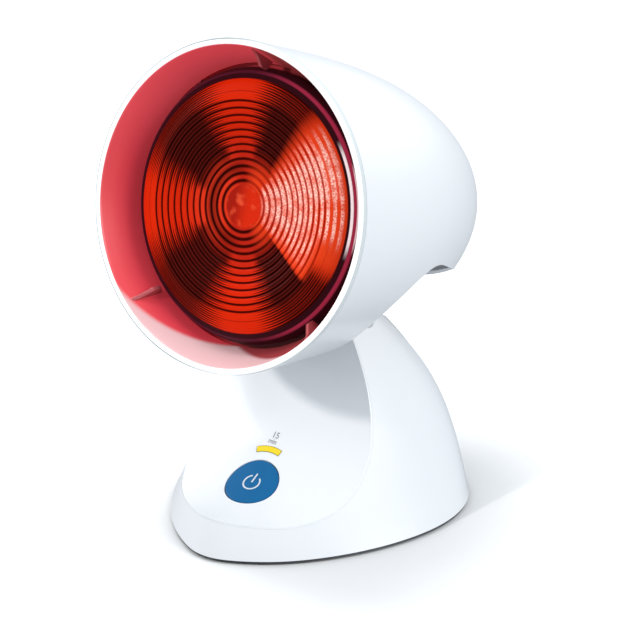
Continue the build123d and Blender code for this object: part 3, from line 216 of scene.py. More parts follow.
board_varnish = finish("green_board_varnish", (0.02, 0.16, 0.06), (0.03, 0.22, 0.09), 0.3,
                       cloud=220, grain=3500, relief=0.00002, Coat_Weight=0.4)
relay_case = finish("black_case_plastic", (0.02, 0.02, 0.022), (0.035, 0.035, 0.038), 0.38, grain=3000)
film_case = finish("yellow_film_case", (0.55, 0.32, 0.04), (0.48, 0.27, 0.03), 0.4, grain=2500)
block_plastic = finish("green_terminal_plastic", (0.03, 0.24, 0.12), (0.04, 0.3, 0.15), 0.45, grain=2600)
dress(board_varnish, "power_board", "control_board")
dress(relay_case, "relay", "fuse", "electrolytic_capacitor", "tact_switch", "switch_plunger",
      "cord_gland", "lead_clip")
dress(film_case, "film_capacitor")
dress(block_plastic, "terminal_block")
dress(zinc_steel, "power_board_screws", "control_board_screws")

# ---------------------------------------------------------------------------
# Leads
# Heat-proof sheathed lead up through the hub to the lampholder, and a flat ribbon between
# the two boards.

lead_sheath = finish("woven_lead_sheath", (0.62, 0.60, 0.55), (0.50, 0.48, 0.43), 0.7,
                     cloud=600, grain=3000, relief=0.00012)
dress(lead_sheath, "lead_lower", "lead_upper", "ribbon_lead")

# ---------------------------------------------------------------------------
# Base shell and front panel
# White glossy moulded housing; the panel is its own moulding, let into the front with a
# fine seam round it.

shell_white = finish("white_shell_plastic", (0.85, 0.865, 0.885), (0.865, 0.88, 0.895), 0.26,
                     cloud=14, grain=2200, relief=0.000004, Coat_Weight=0.25, Coat_Roughness=0.12)
panel_white = finish("white_panel_plastic", (0.865, 0.88, 0.90), (0.875, 0.89, 0.905), 0.18,
                     cloud=14, grain=2200, relief=0.000003, Coat_Weight=0.4, Coat_Roughness=0.08)
dress(shell_white, "base_shell")
dress(panel_white, "front_panel")

# ---------------------------------------------------------------------------
# Light window
# Clear amber light guide, glued from behind into its slot round the button and lit by the
# light on the board. It is drawn flat and then laid on the panel's curve.

button_spot = Vector((0, -0.0550, 0.0237))
button_slope = radians(26)
up_slope = Vector((0, cos(button_slope), sin(button_slope)))
out_of_panel = Vector((0, -sin(button_slope), cos(button_slope)))
bend_above, bend_below, bend_across = 0.06657, 0.0543, 0.17
window_radius, window_width, window_lift = 0.0185, 0.0030, 0.00002
window_sweep, window_turn = radians(-39.5), radians(-13.2)
window_thickness, window_border, window_dome = 0.0001, 0.00028, 0.00005


def panel_rise(x, y):
    """Height of the panel's face over the plane that touches it at the button."""
    bend = bend_above if y > 0 else bend_below
    return bend - sqrt(bend**2 - y**2) - (bend_across - sqrt(bend_across**2 - x**2))


def lay_on_panel(piece):
    """Move a flat piece drawn round the origin on to the panel: x across, y up the slope, z out."""
    for vertex in piece.data.vertices:
        x, y, z = vertex.co
        vertex.co = button_spot + Vector((x, 0, 0)) + up_slope * y + out_of_panel * (z + panel_rise(x, y))
    piece.data.update()


def spin_edge(piece, test, angle, steps):
    """Sweep the edge whose corners pass the test round the z axis."""
    bpy.ops.object.mode_set(mode="EDIT")
    bpy.ops.mesh.select_mode(type="EDGE")
    bpy.ops.mesh.select_all(action="DESELECT")
    bpy.ops.object.mode_set(mode="OBJECT")
    for edge in piece.data.edges:
        edge.select = all(test(piece.data.vertices[i].co) for i in edge.vertices)
    bpy.ops.object.mode_set(mode="EDIT")
    bpy.ops.mesh.spin(steps=steps, angle=angle, center=(0, 0, 0), axis=(0, 0, 1))
    bpy.ops.mesh.select_all(action="SELECT")
    bpy.ops.mesh.remove_doubles(threshold=0.000001)
    bpy.ops.object.mode_set(mode="OBJECT")


amber_window = finish("lit_amber_window", (0.90, 0.66, 0.006), (0.80, 0.54, 0.004), 0.2,
                      cloud=700, grain=2500, Emission_Color=(1.0, 0.74, 0.01, 1),
                      Emission_Strength=0.15, Coat_Weight=0.5)
# the window's sides are painted dark olive as shade
window_side_shade = finish("window_side_shade", (0.24, 0.22, 0.012), (0.30, 0.27, 0.02), 0.3, cloud=700, grain=2500)
dress(amber_window, "light_guide", "status_led")
bpy.ops.object.select_all(action="DESELECT")
bpy.ops.mesh.primitive_plane_add(size=window_width, location=(0, window_radius, window_lift))
window = bpy.context.object
window.name = "light_window"
window.scale = (0.1, 1, 1)
bpy.ops.object.transform_apply()
spin_edge(window, lambda corner: corner.x < -0.0001, window_sweep, 24)
bpy.ops.object.mode_set(mode="EDIT")
bpy.ops.mesh.select_mode(type="FACE")
bpy.ops.mesh.select_all(action="SELECT")
bpy.ops.mesh.extrude_region_move(TRANSFORM_OT_translate={"value": (0, 0, window_thickness)})
bpy.ops.mesh.inset(thickness=window_border, depth=window_dome)
bpy.ops.mesh.select_all(action="SELECT")
bpy.ops.mesh.normals_make_consistent(inside=False)
bpy.ops.object.mode_set(mode="OBJECT")
window.data.transform(Matrix.Rotation(window_turn, 4, "Z"))
window.data.materials.append(amber_window)
window.data.materials.append(window_side_shade)
# faces that do not look straight out of the panel take the painted shade
for face in window.data.polygons:
    level = face.normal.z > 0.995
    face.material_index = 0 if level else 1
lay_on_panel(window)
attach(window, "base")
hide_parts("light_guide")

# ---------------------------------------------------------------------------
# Button
# Round key moulded of blue plastic: its face follows the panel's curve, and a collar keeps
# it behind the panel. The power symbol is printed on it in light grey.

button_profile = [
    (0, 0.0006), (0.003, 0.0006), (0.006, 0.0006), (0.009, 0.0006), (0.0114, 0.00058),
    (0.0120, 0.00048), (0.01242, 0.0002), (0.0126, -0.0004), (0.0126, -0.0033), (0.0138, -0.0033),
    (0.0138, -0.0044), (0.0110, -0.0044), (0.0110, -0.0020), (0.0022, -0.0020), (0.0022, -0.0060),
    (0, -0.0060),
]
print_lift, stroke_width = 0.00064, 0.0008
circle_radius, circle_sweep, circle_turn = 0.0039, radians(-296), radians(122)
bar_middle, bar_length_in_strokes = 0.0026, 6.4


def turned_profile(name, profile, steps, centre, across, along):
    """Spin a profile given as (radius, distance along the axis) all the way round the axis."""
    first_radius, first_distance = profile[0]
    start = centre + across * first_radius + along * first_distance
    bpy.ops.object.select_all(action="DESELECT")
    bpy.ops.mesh.primitive_plane_add(size=0.001, location=start)
    piece = bpy.context.object
    piece.name = name
    bpy.ops.object.transform_apply()
    bpy.ops.object.mode_set(mode="EDIT")
    bpy.ops.mesh.select_mode(type="VERT")
    bpy.ops.mesh.select_all(action="SELECT")
    bpy.ops.mesh.merge(type="CENTER")
    for before, after in zip(profile, profile[1:]):
        move = across * (after[0] - before[0]) + along * (after[1] - before[1])
        bpy.ops.mesh.extrude_region_move(TRANSFORM_OT_translate={"value": move})
    bpy.ops.mesh.select_all(action="SELECT")
    bpy.ops.mesh.spin(steps=steps, angle=2 * pi, center=centre, axis=along)
    bpy.ops.mesh.select_all(action="SELECT")
    bpy.ops.mesh.remove_doubles(threshold=0.00001)
    bpy.ops.mesh.normals_make_consistent(inside=False)
    bpy.ops.object.mode_set(mode="OBJECT")
    return piece


def smooth(piece, angle=35):
    """Shade a piece smooth, with edges sharper than the angle in degrees left crisp."""
    bpy.ops.object.select_all(action="DESELECT")
    piece.select_set(True)
    bpy.context.view_layer.objects.active = piece
    bpy.ops.object.shade_smooth_by_angle(angle=radians(angle))


button_blue = finish("blue_button_plastic", (0.008, 0.120, 0.30), (0.011, 0.135, 0.33), 0.34,
                     cloud=60, grain=2600, relief=0.000006, Specular_IOR_Level=0.15,
                     Coat_Weight=0.03, Coat_Roughness=0.1)
button_key = turned_profile("button_key", button_profile, 72, Vector((0, 0, 0)), Vector((1, 0, 0)),
                            Vector((0, 0, 1)))
lay_on_panel(button_key)
smooth(button_key)
button_key.data.materials.append(button_blue)
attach(button_key, "button")
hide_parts("power_button")

print_grey = finish("light_grey_print", (0.62, 0.68, 0.74), (0.66, 0.71, 0.76), 0.4, cloud=200, grain=3000)
bpy.ops.object.select_all(action="DESELECT")
bpy.ops.mesh.primitive_plane_add(size=stroke_width, location=(circle_radius, 0, print_lift))
symbol = bpy.context.object
symbol.name = "power_symbol"
bpy.ops.object.transform_apply()
spin_edge(symbol, lambda corner: corner.y < 0, circle_sweep, 40)
symbol.data.transform(Matrix.Rotation(circle_turn, 4, "Z"))
bpy.ops.mesh.primitive_plane_add(size=stroke_width, location=(0, bar_middle, print_lift))
bar = bpy.context.object
bar.scale = (1, bar_length_in_strokes, 1)
bpy.ops.object.transform_apply()
bpy.ops.object.select_all(action="DESELECT")
bar.select_set(True)
symbol.select_set(True)
bpy.context.view_layer.objects.active = symbol
bpy.ops.object.join()
lay_on_panel(symbol)
symbol.data.materials.append(print_grey)
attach(symbol, "button")

# ---------------------------------------------------------------------------
# Time marking
# Small grey figures and letters, pad-printed in ink on the white panel above the light
# window.

ink_lift, ink_spread = 0.00004, 0.00005
marking_grey = finish("grey_marking_ink", (0.22, 0.225, 0.235), (0.27, 0.275, 0.285), 0.5,
                      cloud=300, grain=3000)


def print_words(words, name, size, x, y):
    """Flat letters printed on the panel, centred at a place on it."""
    bpy.ops.object.select_all(action="DESELECT")
    bpy.ops.object.text_add(location=(0, 0, 0))
    letters = bpy.context.object
    letters.name = name
    letters.data.body = words
    letters.data.size = size
    letters.data.offset = ink_spread
    letters.data.align_x = "CENTER"
    letters.data.align_y = "CENTER"
    bpy.ops.object.convert(target="MESH")
    letters.location = (x, y, ink_lift)
    bpy.ops.object.transform_apply()
    lay_on_panel(letters)
    letters.data.materials.append(marking_grey)
    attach(letters, "base")


print_words("15", "marking_figures", 0.0039, -0.0021, 0.0250)
print_words("min", "marking_minutes", 0.0031, -0.0024, 0.0221)

# ---------------------------------------------------------------------------
# Mouth ring and funnel
# White moulded ring clipped into the shade's mouth, with the funnel that runs back to the
# lamp and three wedges that steady the glass. The lamp's red glow on its inside is painted
# into its colour, with painted shade and painted daylight, and it shines a little of itself.

tilt = radians(16.8)
across_beam = Vector((0, sin(tilt), cos(tilt)))
down_beam = Vector((0, cos(tilt), -sin(tilt)))
rim_centre = Vector((0, -0.0715, 0.1637))
ring_profile = [
    (0.0627, 0.0219), (0.0623, 0.0217), (0.0661, 0.0110), (0.0694, 0.0012), (0.0698, 0.0004),
    (0.0703, 0.0), (0.0719, 0.0), (0.0725, 0.0003), (0.07268, 0.0009), (0.07268, 0.0024),
    (0.0723, 0.0028), (0.07034, 0.0030), (0.0695, 0.0120), (0.0676, 0.0120), (0.0640, 0.0219),
    (0.0627, 0.0219),
]
wedge_thickness, wedge_turns = 0.0018, (-2.5, 132, 220)
wedge_outline = [(0.0026, 0.0692), (0.0190, 0.0636), (0.0152, 0.0598), (0.0112, 0.0610), (0.0070, 0.0662)]
# painted light: the lamp's red glow on the funnel, near the mouth, deeper in and high up; painted shade on
# the right and lower right; painted daylight at the foot
glow_near, glow_deep, glow_high = (0.655, 0.064, 0.077), (0.60, 0.043, 0.061), (0.76, 0.072, 0.092)
glow_shaded_right, glow_shaded_low_right = (0.28, 0.034, 0.036), (0.30, 0.040, 0.046)
glow_painted_daylight = (0.62, 0.39, 0.40)
# the ring's white, and greys painted as shade in the seam against the lampshade
ring_white, ring_side_seam_shade = (0.90, 0.90, 0.90), (0.45, 0.48, 0.52)
ring_corner_seam_shade, ring_line_seam_shade = (0.50, 0.54, 0.55), (0.24, 0.28, 0.29)


def sum_node(tree, operation, first, second=0.0, third=None):
    """Math node with sockets or plain numbers; returns its output."""
    node = tree.nodes.new("ShaderNodeMath")
    node.operation = operation
    for place, value in enumerate((first, second, third)):
        if value is None:
            continue
        if isinstance(value, (int, float)):
            node.inputs[place].default_value = value
        else:
            tree.links.new(value, node.inputs[place])
    return node.outputs["Value"]


def ramp(tree, value, low, high, out_low=0.0, out_high=1.0):
    """Smooth change of a value between two limits."""
    node = tree.nodes.new("ShaderNodeMapRange")
    node.interpolation_type = "SMOOTHSTEP"
    node.inputs["From Min"].default_value = low
    node.inputs["From Max"].default_value = high
    node.inputs["To Min"].default_value = out_low
    node.inputs["To Max"].default_value = out_high
    tree.links.new(value, node.inputs["Value"])
    return node.outputs["Result"]


def beam_place(tree):
    """Place about the beam, looking in: right, up, radius, depth behind the mouth, angle."""
    place = tree.nodes.new("ShaderNodeTexCoord")
    centred = tree.nodes.new("ShaderNodeMapping")
    centred.vector_type = "TEXTURE"
    centred.inputs["Location"].default_value = rim_centre
    centred.inputs["Rotation"].default_value = (-(pi / 2 + tilt), 0, 0)
    tree.links.new(place.outputs["Object"], centred.inputs["Vector"])
    parts = tree.nodes.new("ShaderNodeSeparateXYZ")
    tree.links.new(centred.outputs["Vector"], parts.inputs["Vector"])
    right, down, depth = parts.outputs
    up = sum_node(tree, "MULTIPLY", down, -1.0)
    squares = sum_node(tree, "ADD", sum_node(tree, "MULTIPLY", right, right),
                       sum_node(tree, "MULTIPLY", down, down))
    return right, up, sum_node(tree, "SQRT", squares), depth, sum_node(tree, "ARCTAN2", up, right)


painted_glow_red = finish("funnel_plastic_painted_red_glow", (0.8, 0.8, 0.8), (0.8, 0.8, 0.8), 0.3,
                  cloud=30, grain=2200, relief=0.000004, Coat_Weight=0.2, Coat_Roughness=0.1)
glow_tree = painted_glow_red.node_tree
glow_x, glow_up, glow_radius, glow_depth, glow_angle = beam_place(glow_tree)
# painted light on the funnel wall: the lamp's red glow, brightest high up, with painted shade on the right
wall_tone = blend_tone(glow_tree, ramp(glow_tree, glow_depth, 0.004, 0.014), glow_near, glow_deep)
wall_tone = blend_tone(glow_tree, ramp(glow_tree, glow_up, 0.0, 0.045), wall_tone, glow_high)
wall_tone = blend_tone(glow_tree, ramp(glow_tree, glow_x, -0.004, 0.006), wall_tone, glow_shaded_right)
low_tone = blend_tone(glow_tree, ramp(glow_tree, glow_x, -0.002, 0.012), wall_tone, glow_shaded_low_right)
wall_tone = blend_tone(glow_tree, ramp(glow_tree, glow_up, -0.035, -0.050), wall_tone, low_tone)
# painted daylight: the bottom of the wall is painted pale where daylight reaches it, between two directions,
# each with its own slant
glow_degrees = sum_node(glow_tree, "MULTIPLY", glow_angle, 180 / pi)
left_limit = sum_node(glow_tree, "MULTIPLY", sum_node(glow_tree, "ADD", glow_degrees, 135.0), 0.000431)
right_limit = sum_node(glow_tree, "MULTIPLY", sum_node(glow_tree, "ADD", glow_degrees, 52.0), -0.000616)
day_limit = sum_node(glow_tree, "MINIMUM", left_limit, right_limit)
daylight = ramp(glow_tree, sum_node(glow_tree, "SUBTRACT", glow_depth, day_limit), 0.0022, -0.0014)
wall_tone = blend_tone(glow_tree, daylight, wall_tone, glow_painted_daylight)
# the ring in front: white face and edge; painted shade of the seam against the lampshade makes it greyer
# behind, with a fine grey line along its corner, darker on the left
face_tone = blend_tone(glow_tree, ramp(glow_tree, glow_depth, 0.0002, 0.0004), ring_white, wall_tone)
edge_tone = blend_tone(glow_tree, ramp(glow_tree, glow_depth, 0.0017, 0.0020), ring_white, ring_side_seam_shade)
edge_tone = blend_tone(glow_tree, ramp(glow_tree, glow_radius, 0.07238, 0.07250), edge_tone,
                       ring_corner_seam_shade)
left_line = sum_node(glow_tree, "MULTIPLY", ramp(glow_tree, glow_radius, 0.07180, 0.07205),
                     ramp(glow_tree, glow_x, 0.020, -0.020))
edge_tone = blend_tone(glow_tree, left_line, edge_tone, ring_line_seam_shade)
ring_tone = blend_tone(glow_tree, ramp(glow_tree, glow_radius, 0.0706, 0.0709), face_tone, edge_tone)
glow_shader = glow_tree.nodes["Principled BSDF"]
glow_tree.links.new(ring_tone, glow_shader.inputs["Base Color"])
# the painted colour also glows a little, as light of its own
glow_tree.links.new(ring_tone, glow_shader.inputs["Emission Color"])
glow_shader.inputs["Emission Strength"].default_value = 0.33

# the wedges are painted dark red for the lamp's glow and the shade on their sides
wedge_painted_shade = finish("wedge_in_shade", (0.42, 0.070, 0.080), (0.46, 0.080, 0.090), 0.35,
                       cloud=60, grain=2200)
mouth_ring = turned_profile("mouth_ring", ring_profile, 180, rim_centre, across_beam, down_beam)
mouth_ring.data.materials.append(painted_glow_red)
# one wedge is shaped from a five-sided disc, whose corners go to the outline's (depth, radius)
bpy.ops.object.select_all(action="DESELECT")
bpy.ops.mesh.primitive_cylinder_add(vertices=len(wedge_outline), radius=1, depth=wedge_thickness,
                                    location=(0, 0, 0))
wedge = bpy.context.object
wedge.name = "wedge"
wedge.data.materials.append(wedge_painted_shade)
for number, vertex in enumerate(wedge.data.vertices):
    vertex.co = (vertex.co.z, *wedge_outline[number // 2])
bpy.ops.object.mode_set(mode="EDIT")
bpy.ops.mesh.select_all(action="SELECT")
bpy.ops.mesh.bevel(offset=0.0002, segments=2)
bpy.ops.mesh.select_all(action="SELECT")
bpy.ops.mesh.normals_make_consistent(inside=False)
bpy.ops.object.mode_set(mode="OBJECT")
wedges = [wedge]
while len(wedges) < len(wedge_turns):
    copied = wedge.copy()
    copied.data = wedge.data.copy()
    bpy.context.collection.objects.link(copied)
    wedges.append(copied)
for turn, piece in zip(wedge_turns, wedges):
    spoke = radians(turn)
    outwards = across_beam * cos(spoke) + Vector((1, 0, 0)) * sin(spoke)
    sideways = outwards.cross(down_beam)
    for vertex in piece.data.vertices:
        wide, depth, radius = vertex.co
        vertex.co = rim_centre + sideways * wide + down_beam * depth + outwards * radius
bpy.ops.object.select_all(action="DESELECT")
for piece in (*wedges, mouth_ring):
    piece.select_set(True)
bpy.context.view_layer.objects.active = mouth_ring
bpy.ops.object.join()
smooth(mouth_ring, 40)
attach(mouth_ring, "head")
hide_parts("shade_liner")

# ---------------------------------------------------------------------------
# Shade
# One white glossy moulding, open at the front and arched over the neck at the lower rear,
# held to the lamp housing by four screws.

shade_white = finish("white_shade_plastic", (0.85, 0.865, 0.885), (0.865, 0.88, 0.895), 0.27,
                     cloud=14, grain=2200, relief=0.000004, Coat_Weight=0.25, Coat_Roughness=0.12)
dress(shade_white, "shade")

# ---------------------------------------------------------------------------
# Lamp glass: lens
# Pressed ruby glass: a smooth eye, stepped rings round it, and a plain flange. Painted
# light and shade lie in its colour: four dark fans between the bright ones, shade in the ring
# steps, a sheen at the right and highlights on the flange.

eye_depth, dish_rise, edge_drop = 0.013, 0.003, 0.0026
dish_start, dish_width, edge_start, edge_width = 0.021, 0.025, 0.046, 0.0092
first_ring, ring_pitch, ring_count = 0.0112, 0.00315, 12
# tones of the glass, with painted light and shade: the eye's shaded left, inner bands lit at the left, shade
# of fans and steps, glints, sheen and flange highlights
eye_red, eye_shaded_left_red, eye_spot = (0.58, 0.020, 0.004), (0.32, 0.010, 0.004), (0.72, 0.075, 0.028)
inner_red, inner_lit_left_red = (0.42, 0.014, 0.005), (0.62, 0.030, 0.009)
band_red, outer_band_red = (0.56, 0.016, 0.002), (0.63, 0.019, 0.002)
fan_shade_tone, step_shade_tone, fan_glint = (0.030, 0.0012, 0.0006), (0.022, 0.0006, 0.0004), (0.60, 0.05, 0.03)
sheen_red, sheen_step_shade_red, sheen_pale = (0.70, 0.046, 0.009), (0.36, 0.010, 0.004), (1.0, 0.58, 0.48)
flange_dark, flange_crest_highlight = (0.030, 0.004, 0.007), (0.075, 0.010, 0.024)
flange_rose_highlight, flange_white_highlight = (0.40, 0.030, 0.075), (1.0, 0.90, 0.90)


def lens_depth(radius):
    """Depth of the glass behind the mouth: dished in the middle, rounded off at the edge."""
    share = min(1, max(0, (radius - dish_start) / dish_width))
    past_edge = max(0, radius - edge_start) / edge_width
    return eye_depth - dish_rise * share**2 * (3 - 2 * share) + edge_drop * past_edge**2


lens_profile = [(0, lens_depth(0)), (0.005, lens_depth(0)), (0.0090, lens_depth(0) + 0.0001)]
for ring in range(ring_count):
    radius = first_ring + ring * ring_pitch
    depth = lens_depth(radius)
    lens_profile += [
        (radius - 0.00045, depth - 0.0001), (radius - 0.00015, depth + 0.0004),
        (radius + 0.00015, depth + 0.0004), (radius + 0.00045, depth - 0.0001),
        (radius + 0.0014, lens_depth(radius + 0.0014) - 0.0002),
    ]
lens_profile += [
    (0.0500, lens_depth(0.0500)), (0.0530, lens_depth(0.0530)), (0.0550, lens_depth(0.0550)),
    (0.0556, 0.0133), (0.0570, 0.0137), (0.0583, 0.0147), (0.0594, 0.0163), (0.0601, 0.0178),
    (0.0605, 0.0190), (0.0605, 0.0200), (0.0545, 0.0200), (0.0460, 0.0165), (0.0300, 0.0170),
    (0, 0.0170),
]
lens = turned_profile("lamp_lens", lens_profile, 180, rim_centre, across_beam, down_beam)
smooth(lens, 45)

ruby = finish("ruby_lens_glass", (0.7, 0.03, 0.01), (0.6, 0.02, 0.01), 0.30,
              cloud=90, grain=1400, relief=0.00003, Specular_IOR_Level=0.03)
ruby_tree = ruby.node_tree
lens_x, _, lens_radius, _, lens_angle = beam_place(ruby_tree)
lens_object = ruby_tree.nodes.new("ShaderNodeTexCoord").outputs["Object"]


def ruby_sum(operation, first, second=0.0, third=None):
    """Math node in the ruby glass."""
    return sum_node(ruby_tree, operation, first, second, third)


def both(first, second):
    """Share where two masks meet."""
    return ruby_sum("MULTIPLY", first, second)


def either(first, second):
    """Share where at least one of two masks is."""
    return ruby_sum("MAXIMUM", first, second)


def without(mask, other):
    """Share of a mask outside another."""
    return both(mask, ruby_sum("SUBTRACT", 1.0, other))


def by_radius(start, end, at_start=0.0, at_end=1.0):
    """Smooth change from one circle round the beam to another."""
    return ramp(ruby_tree, lens_radius, start, end, at_start, at_end)


def near_angle(direction, inner, outer):
    """1 within an angle of a direction round the beam, falling to 0 at a wider one."""
    aside = ruby_sum("COSINE", ruby_sum("SUBTRACT", lens_angle, radians(direction)))
    return ramp(ruby_tree, aside, cos(radians(outer)), cos(radians(inner)))


def near_radius(radius, inner, outer):
    """1 within a distance of a circle round the beam, falling to 0 at a wider one."""
    aside = ruby_sum("ABSOLUTE", ruby_sum("SUBTRACT", lens_radius, radius))
    return ramp(ruby_tree, aside, outer, inner)


def glass_noise(scale, detail, low, high, at_low=0.0):
    """Cloudy pattern in the glass, from a floor up to 1 between two limits."""
    noise = ruby_tree.nodes.new("ShaderNodeTexNoise")
    noise.inputs["Scale"].default_value = scale
    noise.inputs["Detail"].default_value = detail
    ruby_tree.links.new(lens_object, noise.inputs["Vector"])
    return ramp(ruby_tree, noise.outputs["Fac"], low, high, at_low, 1.0)


# where the painted sheen lies: at the right and round the eye
sheen_side = both(near_angle(60, 88, 92), near_angle(0, 46, 63))
sheen_side = either(sheen_side, both(near_angle(18, 38, 84), by_radius(0.0230, 0.0130)))
sheen_side = without(sheen_side, both(near_angle(-40, 14, 28), by_radius(0.043, 0.048)))
sheen_side = both(sheen_side, by_radius(0.0094, 0.0100))
# painted shade: dark fans between the bright ones, their edges combed by the fine ridges
fan_shade_mask = near_angle(-121, 4, 39)
for direction, inner, outer in ((147, 4, 39), (-38, 6, 34), (66, 4, 32)):
    fan_shade_mask = either(fan_shade_mask, near_angle(direction, inner, outer))
fan_shade_mask = both(fan_shade_mask, by_radius(0.0455, 0.0490, 1.0, 0.89))
comb = ruby_sum("PINGPONG", ruby_sum("DIVIDE", lens_radius, ring_pitch / 6), 1.0)
comb = both(ruby_sum("SUBTRACT", comb, 0.5), by_radius(0.024, 0.030))
combed = ruby_sum("MULTIPLY_ADD", comb, 0.86, fan_shade_mask)
fan_shade_mask = either(ramp(ruby_tree, combed, 0.28, 0.86), ramp(ruby_tree, fan_shade_mask, 0.74, 0.98))
fan_shade_mask = without(fan_shade_mask, sheen_side)
fan_shade_mask = both(fan_shade_mask, by_radius(0.016, 0.027))
# painted shade on the inner rings at the left
inner_shade_mask = both(near_radius(0.0172, 0.0008, 0.0040), near_angle(-176, 58, 105))
fan_shade_mask = either(fan_shade_mask, both(inner_shade_mask, 0.62))
# painted shade in the ring steps: a dark line at each ring, wider towards the middle, and a faint one
# outside the last
from_first = ruby_sum("SUBTRACT", lens_radius, first_ring - ring_pitch / 2)
phase = ruby_sum("FRACT", ruby_sum("DIVIDE", from_first, ring_pitch))
from_line = both(ruby_sum("ABSOLUTE", ruby_sum("SUBTRACT", phase, 0.5)), ring_pitch)
line_width = by_radius(0.028, 0.015, 0.00042, 0.00066)
step_shade_mask = ramp(ruby_tree, ruby_sum("DIVIDE", from_line, line_width), 1.75, 0.6)
step_shade_mask = both(step_shade_mask, both(by_radius(0.0095, 0.0100), by_radius(0.0476, 0.0466)))
step_shade_mask = either(step_shade_mask, both(near_radius(0.0500, 0.0001, 0.0003), 0.45))
# smooth eye with a few brighter spots, painted shade on its left; the bands between the rings, the inner
# ones painted lighter at the left
eye_tone = blend_tone(ruby_tree, ramp(ruby_tree, lens_x, -0.006, 0.004), eye_shaded_left_red, eye_red)
eye_tone = blend_tone(ruby_tree, glass_noise(190, 1.5, 0.50, 0.78), eye_tone, eye_spot)
band_tone = blend_tone(ruby_tree, near_angle(180, 35, 75), inner_red, inner_lit_left_red)
band_tone = blend_tone(ruby_tree, by_radius(0.019, 0.034), band_tone, band_red)
band_tone = blend_tone(ruby_tree, by_radius(0.045, 0.048), band_tone, outer_band_red)
glass_tone = blend_tone(ruby_tree, by_radius(0.0088, 0.0098), eye_tone, band_tone)
glass_tone = blend_tone(ruby_tree, fan_shade_mask, glass_tone, fan_shade_tone)
# painted glints on the ridges inside the dark fans
beside_line = ruby_sum("ABSOLUTE", ruby_sum("SUBTRACT", from_line, 0.0008))
glint = both(ramp(ruby_tree, beside_line, 0.0003, 0.0), fan_shade_mask)
glass_tone = blend_tone(ruby_tree, both(glint, 0.13), glass_tone, fan_glint)
glass_tone = blend_tone(ruby_tree, both(step_shade_mask, 0.92), glass_tone, step_shade_tone)
# painted sheen of the ridges: a warm ground, a broad patch near the middle, streaks further out, with
# painted shade in the steps
glass_tone = blend_tone(ruby_tree, sheen_side, glass_tone, sheen_red)
glass_tone = blend_tone(ruby_tree, both(step_shade_mask, both(sheen_side, 0.75)), glass_tone, sheen_step_shade_red)
broad = both(near_angle(14, 12, 30), by_radius(0.0100, 0.0190, 0.25, 1.0))
broad = both(broad, by_radius(0.041, 0.033))
broad = either(broad, both(near_angle(29, 7, 16), by_radius(0.030, 0.036)))
streak = both(near_angle(13, 26, 42), ramp(ruby_tree, from_line, 0.00060, 0.00105))
streak = without(streak, both(near_angle(-40, 30, 42), by_radius(0.040, 0.045)))
streak = both(streak, by_radius(0.0100, 0.0130))
sheen = either(both(broad, ramp(ruby_tree, from_line, 0.00025, 0.00080, 0.10, 1.0)), streak)
sheen = both(sheen, glass_noise(1500, 3, 0.40, 0.58, 0.26))
sheen = both(sheen, by_radius(0.0090, 0.0104))
sheen = both(sheen, glass_noise(170, 2, 0.36, 0.60, 0.40))
sheen = both(sheen, by_radius(0.0552, 0.0535))
glass_tone = blend_tone(ruby_tree, sheen, glass_tone, sheen_pale)
# flange: dark, with a painted highlight along its crest, a painted rose highlight line and two painted white
# highlight streaks along its right half
flange_tone = blend_tone(ruby_tree, near_radius(0.0583, 0.0002, 0.0010), flange_dark, flange_crest_highlight)
rose_highlight_line = both(near_angle(12, 55, 88), near_radius(0.0583, 0.0003, 0.0009))
flange_tone = blend_tone(ruby_tree, rose_highlight_line, flange_tone, flange_rose_highlight)
wide_highlight_streak = both(near_angle(16, 17, 27), near_radius(0.0571, 0.0004, 0.0007))
thin_highlight_streak = both(near_angle(12, 12, 20), near_radius(0.0589, 0.00012, 0.0003))
flange_tone = blend_tone(ruby_tree, either(wide_highlight_streak, thin_highlight_streak), flange_tone, flange_white_highlight)
glass_tone = blend_tone(ruby_tree, by_radius(0.0552, 0.0556), glass_tone, flange_tone)
ruby_shader = ruby_tree.nodes["Principled BSDF"]
ruby_tree.links.new(glass_tone, ruby_shader.inputs["Base Color"])
ruby_tree.links.new(glass_tone, ruby_shader.inputs["Emission Color"])
# the lamp's glow, which carries the painted fans, sheen and highlights with it
ruby_shader.inputs["Emission Strength"].default_value = 0.22
lens.data.materials.append(ruby)
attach(lens, "head")
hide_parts("bulb_lens")

# ---------------------------------------------------------------------------
# Lamp bowl, filament, cap and contact
# Blown glass bowl silvered inside, a heating wire on two posts, and a screw cap of sheet
# brass with a glass insulator and a soldered contact.


def painted_front_glow(material, depth_limit, left_tone, shaded_right_tone):
    """Paint the lamp's red glow on the part of a piece nearest the mouth, with painted shade towards the
    right.
    """
    tree = material.node_tree
    base_colour = tree.nodes["Principled BSDF"].inputs["Base Color"]
    own_tone = base_colour.links[0].from_socket
    right, _, _, depth, _ = beam_place(tree)
    share = ramp(tree, depth, depth_limit + 0.0004, depth_limit)
    tone = blend_tone(tree, ramp(tree, right, -0.004, 0.012), left_tone, shaded_right_tone)
    tree.links.new(blend_tone(tree, share, own_tone, tone), base_colour)


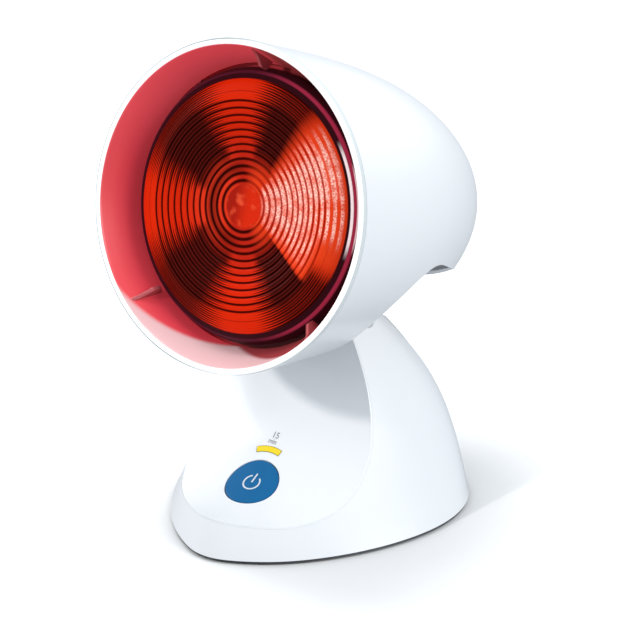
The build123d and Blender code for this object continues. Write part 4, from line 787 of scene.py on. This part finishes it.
silvered = finish("silvered_bowl_glass", (0.78, 0.76, 0.74), (0.70, 0.67, 0.65), 0.12,
                  cloud=60, grain=900, Metallic=1.0)
wire_steel = finish("filament_wire", (0.55, 0.50, 0.45), (0.40, 0.36, 0.33), 0.4,
                    cloud=900, grain=6000, relief=0.00004, Metallic=1.0)
cap_brass = finish("lamp_cap_brass", (0.70, 0.52, 0.24), (0.58, 0.42, 0.18), 0.3,
                   spread=0.15, cloud=200, grain=2500, relief=0.00001, Metallic=1.0)
insulator_glass = finish("black_insulator_glass", (0.01, 0.01, 0.012), (0.02, 0.02, 0.022), 0.1,
                         cloud=300, grain=2000)
# the bowl's front edge is painted with the lamp's red glow, in painted shade on the right
painted_front_glow(silvered, 0.0235, (0.46, 0.040, 0.050), (0.060, 0.004, 0.012))
dress(silvered, "bulb_reflector")
dress(wire_steel, "filament", "filament_posts")
dress(cap_brass, "bulb_cap", "bulb_contact", "lampholder_thread", "lampholder_contact")
dress(insulator_glass, "bulb_insulator")

# ---------------------------------------------------------------------------
# Lampholder and lamp housing
# Glazed ceramic holder screwed to the floor of the housing; the housing is a cup of
# heat-resistant plastic with cooling slots, a tube and the tongue of the tilt joint.

glazed_ceramic = finish("glazed_ceramic", (0.78, 0.76, 0.70), (0.72, 0.69, 0.62), 0.18,
                        cloud=120, grain=1500, relief=0.00001, Coat_Weight=0.5)
housing_plastic = finish("pale_heat_plastic", (0.70, 0.71, 0.73), (0.74, 0.75, 0.77), 0.5,
                         cloud=40, grain=2600, relief=0.00002)
# the housing's front is painted with the lamp's red glow, in painted shade on the right
painted_front_glow(housing_plastic, 0.0285, (0.46, 0.040, 0.050), (0.20, 0.026, 0.028))
dress(glazed_ceramic, "lampholder_body")
dress(housing_plastic, "lamp_housing")
dress(zinc_steel, "housing_screws", "lampholder_screws")

# ---------------------------------------------------------------------------
# Tilt joint
# Two shouldered screws of plated steel through cheeks and tongue, each with a fibre friction
# washer, a spring washer and a nut, so that the head stays at any angle.

friction_fibre = finish("friction_fibre", (0.22, 0.12, 0.06), (0.28, 0.16, 0.08), 0.8,
                        cloud=500, grain=3500, relief=0.00006)
dress(friction_fibre, "friction_washers")
dress(zinc_steel, "pivot_screws", "spring_washers", "pivot_nuts")
